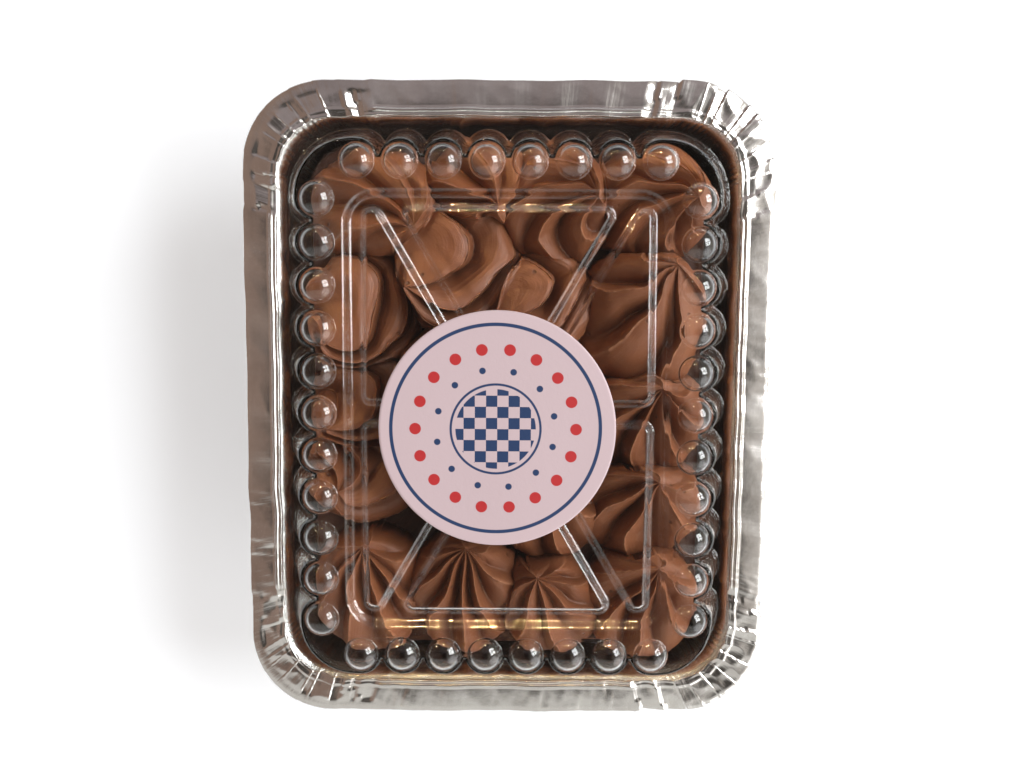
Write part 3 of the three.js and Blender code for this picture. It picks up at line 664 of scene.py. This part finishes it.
def scallop_loop(line_x, line_y, radius, spread, corner):
    """Arcs of a set spread about each bubble's middle, joined round each corner by one wide arc."""
    loop = []
    arc = np.radians(spread) * np.arange(-BUBBLE_STEPS, BUBBLE_STEPS + 1) / BUBBLE_STEPS
    turn = TURN / 4 * np.arange(ROUND_STEPS + 1) / ROUND_STEPS
    for quarter in range(4):
        long = quarter % 2 == 0
        line, across, count = (line_x, line_y, LONG_BUBBLES) if long else (line_y, line_x, SHORT_BUBBLES)
        middles = (np.arange(count)[:, None] - (count - 1) / 2) * PITCH
        out = np.tile(line + radius * np.cos(arc), count)[BUBBLE_STEPS:-BUBBLE_STEPS]
        side = (middles + radius * np.sin(arc)).ravel()[BUBBLE_STEPS:-BUBBLE_STEPS]
        out = np.append(out, line + radius - corner + corner * np.cos(turn))
        side = np.append(side, across + radius - corner + corner * np.sin(turn))
        facing = np.array([math.cos(quarter * TURN / 4), math.sin(quarter * TURN / 4)])
        loop.append(out[:, None] * facing + side[:, None] * np.array([-facing[1], facing[0]]))
    return np.concatenate(loop)


def ease(share, soft):
    """Share of a rise whose slope grows from nothing over the first soft part and fades over the last."""
    top = 1 / (1 - soft)
    start = top * share**2 / (2 * soft)
    middle = top * (share - soft / 2)
    end = 1 - top * (1 - share) ** 2 / (2 * soft)
    return np.where(share < soft, start, np.where(share > 1 - soft, end, middle))


def add_step(sheet, foot, top, low, high, soft=0.5, rows=12):
    """Rows from one loop to another whose height eases out of one level and into the other."""
    share = (1 - np.cos(np.pi * np.arange(rows + 1) / rows)) / 2
    places = mix(foot[None], top[None], share[:, None, None])
    return add_rings(sheet, places, mix(low, high, ease(share, soft)))[[0, -1]]


def round_rectangle(half_x, half_y, radius):
    return np.stack(path_points(path_columns(ROUND_STEPS, 1, 1), half_x, half_y, radius), -1)


def corner_arcs(outline, radius):
    """For each corner of a convex outline, the middle of its arc and the directions that it turns through."""
    outline = np.array(outline, float)
    arrive = outline - np.roll(outline, 1, 0)
    arrive /= np.linalg.norm(arrive, axis=1)[:, None]
    leave = np.roll(arrive, -1, 0)
    inward = np.stack([-arrive[:, 1], arrive[:, 0]], -1)
    turn = np.arctan2((inward * leave).sum(1), (arrive * leave).sum(1))
    middle = outline - arrive * (radius * np.tan(turn / 2))[:, None] + inward * radius
    start = np.arctan2(-inward[:, 1], -inward[:, 0])
    angle = start[:, None] + turn[:, None] * np.arange(ROUND_STEPS + 1) / ROUND_STEPS
    return middle, angle


def arc_loop(arcs, radius):
    middle, angle = arcs
    return (middle[:, None] + radius * np.stack([np.cos(angle), np.sin(angle)], -1)).reshape(-1, 2)


def panel_outlines():
    """Corners of the six panels: a triangle at each end and a tapered one in each quarter beside it. A
    mirrored one is walked backwards."""
    half_end = END_PANEL_FAR / PANEL_SLOPE - 1
    end = [(half_end, END_PANEL_FAR), (-half_end, END_PANEL_FAR), (0, PANEL_SLOPE)]
    side = [(31.9, SIDE_PANEL_NEAR), (31.6, SIDE_PANEL_FAR - 0.2)]
    side += [(PANEL_RIB + y / PANEL_SLOPE, y) for y in (SIDE_PANEL_FAR, SIDE_PANEL_NEAR)]
    placed = [(end, 1, 1), (end, -1, -1), (side, 1, 1), (side, -1, 1), (side, -1, -1), (side, 1, -1)]
    return [[(x * sign_x, y * sign_y) for x, y in outline][::sign_x * sign_y]
            for outline, sign_x, sign_y in placed]


def bubble_middles():
    """Even steps along the line of the crest on each side."""
    long, short = ((np.arange(count) - (count - 1) / 2) * PITCH for count in (LONG_BUBBLES, SHORT_BUBBLES))
    sides = [(side * CREST["line_x"], along) for side in (1, -1) for along in long]
    return sides + [(along, end * CREST["line_y"]) for end in (1, -1) for along in short]


def make_lid():
    """Upper face of the formed sheet, from the flange in. A Solidify modifier gives it its thickness."""
    sheet = new_sheet()
    edge = round_rectangle(*FLANGE.values())
    flange = add_points(sheet, np.column_stack([edge, np.full(len(edge), FLANGE_Z)]))
    wall_foot, wall_crest = add_step(sheet, scallop_loop(*FOOT.values()), scallop_loop(*CREST.values()),
                                     FLANGE_Z, LAND_Z, soft=0.2, rows=16)
    add_flat(sheet, flange, [wall_foot])
    frame_edge, frame_foot = add_step(sheet, round_rectangle(*FRAME_EDGE), round_rectangle(*FRAME_FOOT),
                                      LAND_Z, FLOOR_Z)
    cap_radius = (DOME_RADIUS**2 + DOME_HEIGHT**2) / (2 * DOME_HEIGHT)
    angle = TURN * (np.arange(DOME_SIDES) + 0.5) / DOME_SIDES
    ring = np.stack([np.cos(angle), np.sin(angle)], -1)
    reach = DOME_RADIUS * np.array(DOME_REACHES)
    rise = np.sqrt(cap_radius**2 - reach**2) - (cap_radius - DOME_HEIGHT)
    rise[:len(DOME_FILLET)] = DOME_FILLET
    dome_feet = []
    for middle in bubble_middles():
        rows = add_rings(sheet, middle + reach[:, None, None] * ring, LAND_Z + rise)
        add_fan(sheet, rows[-1], (*middle, LAND_Z + DOME_HEIGHT), True)
        dome_feet.append(rows[0])
    add_flat(sheet, wall_crest, [frame_edge, *dome_feet])
    panel_feet = []
    for outline in panel_outlines():
        arcs = corner_arcs(outline, PANEL_ROUND)
        foot, top = add_step(sheet, arc_loop(arcs, PANEL_ROUND), arc_loop(arcs, PANEL_ROUND - PANEL_WALL),
                             FLOOR_Z, PANEL_Z)
        add_flat(sheet, top)
        panel_feet.append(foot)
    add_flat(sheet, frame_foot, panel_feet)
    piece = add_piece("clear_lid", sheet, clear, "lid")
    heights = np.concatenate(sheet.points)[:, 2]
    steep = np.clip((heights - FLANGE_Z) * (LAND_Z - heights) / 12, 0, 1)
    outside = np.arange(len(heights)) < wall_crest[-1]
    add_measure(piece, "drawn_wall", steep * outside)
    solid = piece.modifiers.new("sheet", "SOLIDIFY")
    solid.thickness = SHEET * MM
    solid.offset = -1
    solid.use_even_offset = True
    return piece


# Round sticker lying on the panels

STICKER_SIDES = 160
STICKER_SINK = 0.04
STICKER_WAVE = 0.03


def make_sticker():
    """Rings of a thin disc: up its edge, in over the top with a faint wave, and back under."""
    angle = TURN * np.arange(STICKER_SIDES) / STICKER_SIDES
    low, high = label_low[2], label_high[2]
    profile = [(0.999, low + 0.01), (1, low + 0.07), (0.997, high)]
    profile += [(share, high) for share in np.linspace(0.98, 0.05, 14)]
    rows = []
    for share, z in profile:
        x = LABEL_X + LABEL_RADIUS * share * np.cos(angle)
        y = LABEL_Y + LABEL_RADIUS * share * np.sin(angle)
        wave = STICKER_WAVE * ripple(x, y, 22, 41) if z == high else 0
        rows.append(np.stack([x, y, z - STICKER_SINK + wave + 0 * angle], -1))
    sheet = closed_sheet(rows, (LABEL_X, LABEL_Y, low + 0.01), (LABEL_X, LABEL_Y, high - STICKER_SINK))
    add_piece("round_sticker", sheet, paper, "sticker")


# Piped frosting. Each swirl: place of its body, half widths, place and height of its tip, then the number of
# lobes, how far they sweep round on the way out, the turn of the first, how much they bunch up beside it and
# whether they are ridged

SWIRLS = {
    "a1": (-30, 45, 15.5, 13.5, -20.5, 40.5, 48, 6, 0.5, 75, 0, True),
    "a2": (-7, 49.3, 13, 11.4, -1.5, 43, 47, 5, 0.5, 140, 0, True),
    "a3": (10.5, 45, 14, 14.5, 19, 47, 48.5, 6, 1.2, 80, 0, True),
    "a4": (31.5, 45.5, 14.5, 13.5, 41, 46, 49, 7, 0.95, 75, 0, True),
    "b1": (-33, 20.5, 13, 16, -41, 15, 48.5, 3, 3.4, -59, 0.2, False),
    "b2": (-10.5, 30.5, 15, 16.5, -22.3, 27, 49.5, 3, 2.0, -12, 0.38, False),
    "b3": (8, 22.5, 13.5, 14, -1, 19.5, 49, 3, 2.0, 8, 0.38, False),
    "b4": (29.5, 19, 16, 17, 36.5, 31.5, 49.5, 6, -0.5, 9, 0, False),
    "c1": (-32.5, -0.5, 13, 13.5, -40, -4, 47.5, 3, 3.0, -50, 0.2, False),
    "c2": (-12, 5, 14, 14.5, -18, 8, 49, 3, 1.8, 15, 0.3, False),
    "c3": (9, 1, 14.5, 14.5, 5, 9, 49.5, 5, 0.9, 60, 0, False),
    "c4": (31, -3, 15, 14.5, 33.8, 5.4, 48.5, 7, 0.45, 25, 0, True),
    "d1": (-33, -15.5, 14, 12.5, -38, -19, 48, 5, 1.4, 15, 0, True),
    "d2": (-11, -17, 14.5, 12.5, -14, -12, 48.5, 5, 1, 0, 0, False),
    "d3": (9.5, -23.5, 14.5, 13, 10, -16, 49, 6, 0.4, 30, 0, True),
    "d4": (30, -23.5, 16, 13, 34, -16, 49, 6, 0.4, 5, 0, True),
    "e1": (-31.5, -44, 14, 16, -32, -30.5, 48.5, 7, 0.25, 26, 0, True),
    "e2": (-9.5, -44, 13.5, 15.5, -9.5, -31, 49, 8, 0.2, -4, 0, True),
    "e3": (10, -47, 12.5, 12.5, 7, -37.5, 47.5, 7, 0.2, 14, 0, True),
    "e4": (31, -46, 14.5, 14.5, 34.5, -35.5, 47.5, 6, 0.35, 8, 0, True),
}
SWIRL_KEYS = ("x", "y", "rx", "ry", "tip_x", "tip_y", "top", "lobes", "sweep", "turn", "bunch", "ridged")
swirls = [SimpleNamespace(**dict(zip(SWIRL_KEYS, values)), name=name, seed=seed)
          for seed, (name, values) in enumerate(SWIRLS.items())]
for swirl in swirls:
    swirl.axis = math.atan2(swirl.y - swirl.tip_y, swirl.x - swirl.tip_x)

# The lobe figures, FADE_BEHIND, RIM_RISE and CREST_WIDTH are shares. NEAR, OVERLAP and the last five are in
# millimetres
SPOKES = 240
RINGS = 52
LOBE_DEPTH = 0.42
FADE_BEHIND = 0.36
LOBE_BULGE = 0.1
LOBE_WANDER = 0.16
BUNCH_SHIFT = 1.2
SHOULDER = 2.6
RIM_RISE = 0.04
MARCH = 90
NEAR = 45
OVERLAP = 0.35
SWEEP_BEND = 2
CREST_WIDTH = 0.004
STREAK_HEIGHT = 0.035
SWELL = 0.1
FOOT_DEPTH = 0.6
DRIFT = 0.55
DRIFT_LENGTH = 13


def place_on(swirl, share, angle):
    """A share of the way from the tip to the rim ellipse, straight out at an angle round the body."""
    rim_x = swirl.x + swirl.rx * np.cos(angle)
    rim_y = swirl.y + swirl.ry * np.sin(angle)
    return mix(swirl.tip_x, rim_x, share), mix(swirl.tip_y, rim_y, share)


def angle_through(swirl, x, y):
    """The angle of a place: the share is the root of a quadratic in the circle that the body stretches to."""
    tip_x = (swirl.tip_x - swirl.x) / swirl.rx
    tip_y = (swirl.tip_y - swirl.y) / swirl.ry
    off_x = (x - swirl.tip_x) / swirl.rx
    off_y = (y - swirl.tip_y) / swirl.ry
    a = 1 - tip_x**2 - tip_y**2
    b = tip_x * off_x + tip_y * off_y
    share = np.maximum(1e-6, (b + np.sqrt(b * b + a * (off_x**2 + off_y**2))) / a)
    return np.arctan2(tip_y + off_y / share, tip_x + off_x / share)


def wander(swirl, spoke):
    """How far lobes stray from even spacing: a little by two waves, and by a wave that bunches them up."""
    seed, bunch = swirl.seed, swirl.bunch
    bunched = np.sin(spoke - math.radians(swirl.turn) + BUNCH_SHIFT) - math.sin(BUNCH_SHIFT)
    stray = np.sin(spoke + seed * 2.4) + 0.4 * np.sin(3 * spoke + seed * 1.3)
    return bunch * bunched + LOBE_WANDER * (1 - 2.2 * bunch) * stray


def lobe_phase(swirl, spoke):
    return swirl.lobes * (spoke - math.radians(swirl.turn)) / TURN + wander(swirl, spoke)


def lobe_height(swirl, phase, spoke):
    """Crests stand where the phase is whole. Each lobe falls from its crest in a rounded slope to a crease,
    then climbs steeply to the next crest. The crease lies just before the next crest on petals, and on ridged
    swirls to whichever side the lobe fans out from the tip."""
    within = phase - np.floor(phase)
    if swirl.ridged:
        crease = 0.5 - 0.36 * np.sin(spoke - swirl.axis)
        fall, climb = 1.25, 1.25
    else:
        crease = 1 - 0.022 * swirl.lobes
        fall, climb = 1.9, 0.8
    down = 1 - (np.minimum(within, crease) / crease) ** fall
    up = (np.maximum(within - crease, 0) / (1 - crease)) ** climb
    return np.where(within < crease, down, up)


def reach_of(swirl, x, y, angle):
    """Distance from the body's middle as a share of its half widths, less where a lobe bulges at the rim."""
    spoke = angle - swirl.sweep
    bulge = LOBE_BULGE * (lobe_height(swirl, lobe_phase(swirl, spoke), spoke) - 0.5)
    return np.hypot((x - swirl.x) / swirl.rx, (y - swirl.y) / swirl.ry) * (1 - bulge)


def limits_at(swirl, angles):
    """The share at which the line at each angle runs into a neighbour: where another body's reach falls below
    its own."""
    share = (np.arange(1, MARCH + 1) / MARCH)[:, None]
    x, y = place_on(swirl, share, angles)
    own = reach_of(swirl, x, y, angles)
    margin = 9.0
    for other in swirls:
        if other is not swirl and math.hypot(other.x - swirl.x, other.y - swirl.y) < NEAR:
            margin = np.minimum(margin, reach_of(other, x, y, angle_through(other, x, y)) - own)
    crossed = (margin < 0) & (share > 0.1)
    first = np.argmax(crossed, 0)
    column = np.arange(len(angles))
    before, after = margin[np.maximum(first - 1, 0), column], margin[first, column]
    part = before / np.maximum(before - after, 1e-9)
    return np.where(crossed.any(0), (first + part) / MARCH, 1.0)


def edge_of(swirl, angles):
    """The share at which the body ends at each angle: a ragged free rim, or a little way into a neighbour."""
    limits = limits_at(swirl, angles)
    x, y = place_on(swirl, limits, angles)
    length = np.hypot(x - swirl.tip_x, y - swirl.tip_y)
    spoke = angles - swirl.sweep
    lobe = lobe_height(swirl, lobe_phase(swirl, spoke), spoke)
    ragged = 0.25 * ripple(x, y, 1.6, 60 + swirl.seed) + 1.1 * (lobe - 0.7)
    return limits * np.where(limits > 0.999, 1 + (ragged - 0.3) / length, 1 + OVERLAP / length)


def depth_at(swirl, spoke):
    """Creases are shallow behind the tip, unless the lobes bunch up."""
    return 1 if swirl.bunch else 1 - FADE_BEHIND * (1 - np.cos(spoke - swirl.axis))


def swirl_height(swirl, share, spoke, phase):
    """A rounded shoulder, cut by creases of uneven depth that deepen away from the tip."""
    body = np.sqrt(np.maximum(0, 1 - share**SHOULDER))
    depths = np.random.default_rng(200 + swirl.seed).uniform(0.55, 1.15, swirl.lobes + 1)
    depth = depths[np.floor(phase).astype(int) % swirl.lobes] * depth_at(swirl, spoke)
    fold = LOBE_DEPTH * depth * np.minimum(1, share * 2.5) * (1 - lobe_height(swirl, phase, spoke))
    return COAT_TOP + (swirl.top - COAT_TOP) * np.maximum(RIM_RISE, body * (1 - fold))


def warp(x, y):
    """Sideways drift of the frosting of up to about a millimetre, so that no crest runs quite straight."""
    return [place + DRIFT * ripple(x, y, DRIFT_LENGTH, seed, 6) for place, seed in ((x, 301), (y, 302))]


def make_swirl(swirl):
    """Rings from the foot to the tip along the spokes, closer beside the crests, which are ragged lips. Each
    spoke sweeps round with the square of its share of the way out, and inside the rim the body's outline is
    smoothed: a mean over 60 degrees to each side, weighted by a cosine."""
    per_lobe = round(SPOKES / swirl.lobes)
    step = np.arange(per_lobe) / per_lobe
    step = mix(step, (1 - np.cos(np.pi * step)) / 2, 0.75)
    phase = (np.arange(swirl.lobes)[:, None] + step).ravel()
    tried = math.radians(swirl.turn) + TURN * np.linspace(-0.3, 1.3, 4000)
    spokes = np.interp(phase, lobe_phase(swirl, tried), tried)
    lobe = lobe_height(swirl, phase, spokes)
    fraction = ((np.arange(RINGS) + 1) / RINGS)[::-1, None] ** 0.8
    angle = spokes + swirl.sweep * fraction**SWEEP_BEND
    around = TURN * np.arange(720) / 720
    rim = edge_of(swirl, around)
    smooth = sum((1 + math.cos(k * np.pi / 6)) * np.roll(rim, 20 * k) for k in range(-5, 6)) / 12
    edge = mix(*(np.interp(angle, around, values, period=TURN) for values in (smooth, rim)), fraction**4)
    share = edge * fraction
    x, y = place_on(swirl, share, angle)
    z = swirl_height(swirl, np.minimum(share / np.maximum(1, edge), 1), spokes, phase)
    within = phase - np.floor(phase)
    near_crest = np.exp(-(np.minimum(within, 1 - within) / (CREST_WIDTH * swirl.lobes)) ** 2)
    rise = np.clip(share * 3, 0, 1) * np.clip((1.02 - share) * 6, 0, 1)
    streak = ripple(phase * 7, share * 1.2, 1.0, 80 + swirl.seed, 14)
    torn = 0.35 + 0.3 * ripple(x, y, 1.5, 100 + swirl.seed)
    z = z + rise * (STREAK_HEIGHT * streak + near_crest * torn)
    z = z + SWELL * ripple(x, y, 5, 120 + swirl.seed)
    z[0] = COAT_TOP - FOOT_DEPTH
    z = np.minimum(z, swirl.top + 0.2)
    tip_x, tip_y = warp(swirl.tip_x, swirl.tip_y)
    x, y = warp(x, y)
    foot, tip = (tip_x, tip_y, COAT_TOP - FOOT_DEPTH), (tip_x, tip_y, z[-1].mean())
    sheet = closed_sheet(np.stack([x, y, z], -1), foot, tip)
    piece = add_piece(f"piped_{swirl.name}", sheet, frosting, f"swirl_{swirl.name}")
    # Painted shade, deepest down in each crease and fading in near the tip and where creases are shallow
    painted_shade = (1 - lobe) ** 1.6 * np.clip(share * 2.5, 0, 1) * depth_at(swirl, spokes)
    # Painted highlight along the thin crests, where they rise clear of the tip and the rim
    add_measure(piece, "crest", near_crest * rise)
    add_measure(piece, "painted_shade", painted_shade)
    add_flow(piece, "flow", phase * 4, share * 12)


# Frosting coat under the swirls, and the sponge that it lies on

CAKE_GAP = 0.9
COAT_GAP = 3.5
CAKE_COLUMNS = path_columns(40, 60, 80)


def make_block(name, levels, roughness, seed, material, node):
    """Rings up the side and in over the top of a cake layer, each a set way inside the tray's wall, with an
    uneven top and crumbly sides."""
    rows = []
    for z, inset, shrink in levels:
        x, y = path_points(CAKE_COLUMNS, *wall_station(z / TRAY_HEIGHT, -inset)[:3])
        x, y = x * shrink, y * shrink
        crumbs = 0.6 * ripple(x, y + z * 3, 3.5, seed) + 0.4 * ripple(x, y - z * 2, 1.3, seed + 1)
        push = 1 - 0.012 * roughness * (1 + crumbs)
        rows.append(np.stack([x * push, y * push, z + np.minimum(roughness * crumbs, 0.3)], -1))
    sheet = closed_sheet(rows, (0, 0, levels[0][0]), (0, 0, levels[-1][0]))
    return add_piece(name, sheet, material, node)


def make_cake():
    """The sponge from the tray's base up to the split, and the spread frosting over it, darkened all over
    with painted shade.
    """
    split = sponge_high[2]
    inward = [0.99, 0.98, 0.965, 0.95, 0.93, 0.91, 0.88, 0.84, 0.7, 0.5, 0.3, 0.1]
    side = [(z, CAKE_GAP, 1) for z in np.linspace(sponge_low[2] + 2, split - 1, 12)]
    levels = [(sponge_low[2] + 0.3, CAKE_GAP + 1.5, 1), *side, *[(split - 0.6, CAKE_GAP, k) for k in inward]]
    make_block("sponge_layer", levels, 0.5, 141, crumb, "sponge")
    side = [(z, COAT_GAP, 1) for z in np.linspace(split - 0.8, COAT_TOP - 1.6, 6)]
    levels = [*side, (COAT_TOP - 0.8, COAT_GAP + 0.5, 1)]
    levels += [(COAT_TOP - 0.45, COAT_GAP + 1.4, k) for k in inward]
    coat = make_block("frosting_spread", levels, 0.4, 151, frosting, "frosting_coat")
    coat.data.uv_layers.new(name="flow")
    # Painted shade over the whole spread coat, a little past the full crease shade colour
    add_measure(coat, "painted_shade", np.full(len(coat.data.vertices), 1.7))


make_tray()
lid = make_lid()
make_sticker()
make_cake()
for swirl in swirls:
    make_swirl(swirl)


# Floor, light and camera, in metres

FLOOR_TONES = (0.86, 0.9, 0.94), (0.88, 0.92, 0.96)
FLOOR_HALF = 3.0
FLOOR_GAP = 0.0002

def make_floor():
    """A pale seamless floor, which glows a little."""
    material, tree, shader = new_material("studio_floor")
    tone = mottled(tree, object_place(tree), *FLOOR_TONES, scale=3.0, detail=2.0)
    set_inputs(shader, {
        "Base Color": tone["Colour"], "Roughness": 0.7,
        "Emission Color": (0.97, 0.985, 1, 1), "Emission Strength": 0.36})
    mesh = bpy.data.meshes.new("studio_floor")
    corners = [(x * FLOOR_HALF, y * FLOOR_HALF, 0) for x, y in ((-1, -1), (1, -1), (1, 1), (-1, 1))]
    mesh.from_pydata(corners, [], [(0, 1, 2, 3)])
    mesh.materials.append(material)
    floor = add_object("studio_floor", mesh)
    floor.location.z = -FLOOR_GAP


# Lamps shine from a distance, in a direction given in degrees off the vertical and round from +X
LAMP_DISTANCE = 1.6
WINDOW = (50, 18)
WINDOW_SIZE = (1.15, 0.95)
PANE_SHARE = 0.88
WARM_LAMPS = ((60, 85), (58, 88), (61, 91.5), (59, 95), (61, 98.5), (62, 113), (56, 130), (66, 141))
WARM_SIZE = (0.05, 0.05)
WARM = (1, 0.66, 0.28)
CEILING = (0.07, 0.062, 0.056, 1)

# Walls: their direction, the cosines off it at which their light starts and is full, and its colour
WALLS = (
    (90, 90, 0.08, 0.36, (0.32, 0.27, 0.27)),
    (90, 180, 0.16, 0.44, (0.3, 0.21, 0.17)),
    (90, 0, 0.2, 0.46, (0.62, 0.57, 0.52)),
    (90, -90, 0.36, 0.6, (0.75, 0.73, 0.69)),
    (68, -38, 0.86, 0.97, (2.6, 2.55, 2.5)),
    (84, 0, 0.88, 0.98, (1.0, 0.92, 0.8)),
)


def towards(off_vertical, heading):
    tilt, turn = math.radians(off_vertical), math.radians(heading)
    return Vector((math.sin(tilt) * math.cos(turn), math.sin(tilt) * math.sin(turn), math.cos(tilt)))


def soft_light(name, direction, size, radiance, colour, panes=1, only=None):
    """Square panes of light in a rectangle, flagged so that they fall only on the pieces of a collection, if
    one is given."""
    away = towards(*direction)
    facing = away.to_track_quat("Z", "Y")
    for column in range(panes):
        for row in range(panes):
            data = bpy.data.lights.new(name, "AREA")
            data.shape = "RECTANGLE"
            gap = PANE_SHARE if panes > 1 else 1
            data.size, data.size_y = (side * gap / panes for side in size)
            data.energy = radiance * math.pi * data.size * data.size_y
            data.color = colour
            shift = [((place + 0.5) / panes - 0.5) * side for place, side in zip((column, row), size)]
            lamp = add_object(name, data)
            lamp.location = away * LAMP_DISTANCE + facing @ Vector((*shift, 0))
            lamp.rotation_euler = facing.to_euler()
            lamp.light_linking.receiver_collection = only


def make_light():
    soft_light("window", WINDOW, WINDOW_SIZE, 10, (0.98, 0.99, 1), panes=2)
    lid_only = bpy.data.collections.new("lid_only")
    lid_only.objects.link(lid)
    for number, direction in enumerate(WARM_LAMPS):
        soft_light(f"warm_lamp_{number}", direction, WARM_SIZE, 600, WARM, only=lid_only)


def make_room():
    """A dim warm room whose light grows smoothly with how far a direction points at each wall. The camera
    itself sees a plain pale backdrop."""
    world = bpy.data.worlds.new("room")
    world.use_nodes = True
    tree = world.node_tree
    lit = tree.nodes["Background"]
    direction = add_node(tree, "ShaderNodeTexCoord").outputs["Generated"]
    light = CEILING
    for off_vertical, heading, start, full, colour in WALLS:
        toward = add_node(tree, "ShaderNodeVectorMath", {
            0: direction, 1: towards(off_vertical, heading)}, operation="DOT_PRODUCT").outputs["Value"]
        share = spread(tree, toward, start, full, interpolation_type="SMOOTHSTEP")
        light = lay_over(tree, share, light, (*colour, 1))
    set_inputs(lit, {"Color": light})
    backdrop = add_node(tree, "ShaderNodeBackground", {"Color": (0.88, 0.88, 0.88, 1)})
    seen = add_node(tree, "ShaderNodeLightPath").outputs["Is Camera Ray"]
    show_either(tree, seen, lit, backdrop)
    bpy.context.scene.world = world


LENS = 37.4
CAMERA_PLACE = (0.0010, 0.0323, 0.2787)
CAMERA_TILT = -6.54
CAMERA_ROLL = 0.37


def make_camera():
    """The camera looks down on the lid, tilted a little from the top edge of the photograph."""
    data = bpy.data.cameras.new("camera")
    data.lens = LENS
    data.clip_start = 0.01
    camera = add_object("camera", data)
    tilt = Matrix.Rotation(math.radians(CAMERA_TILT), 4, "X")
    roll = Matrix.Rotation(math.radians(CAMERA_ROLL), 4, "Z")
    camera.matrix_world = Matrix.Translation(CAMERA_PLACE) @ tilt @ roll
    bpy.context.scene.camera = camera


make_floor()
make_light()
make_room()
make_camera()
bpy.context.scene.view_settings.view_transform = "Standard"
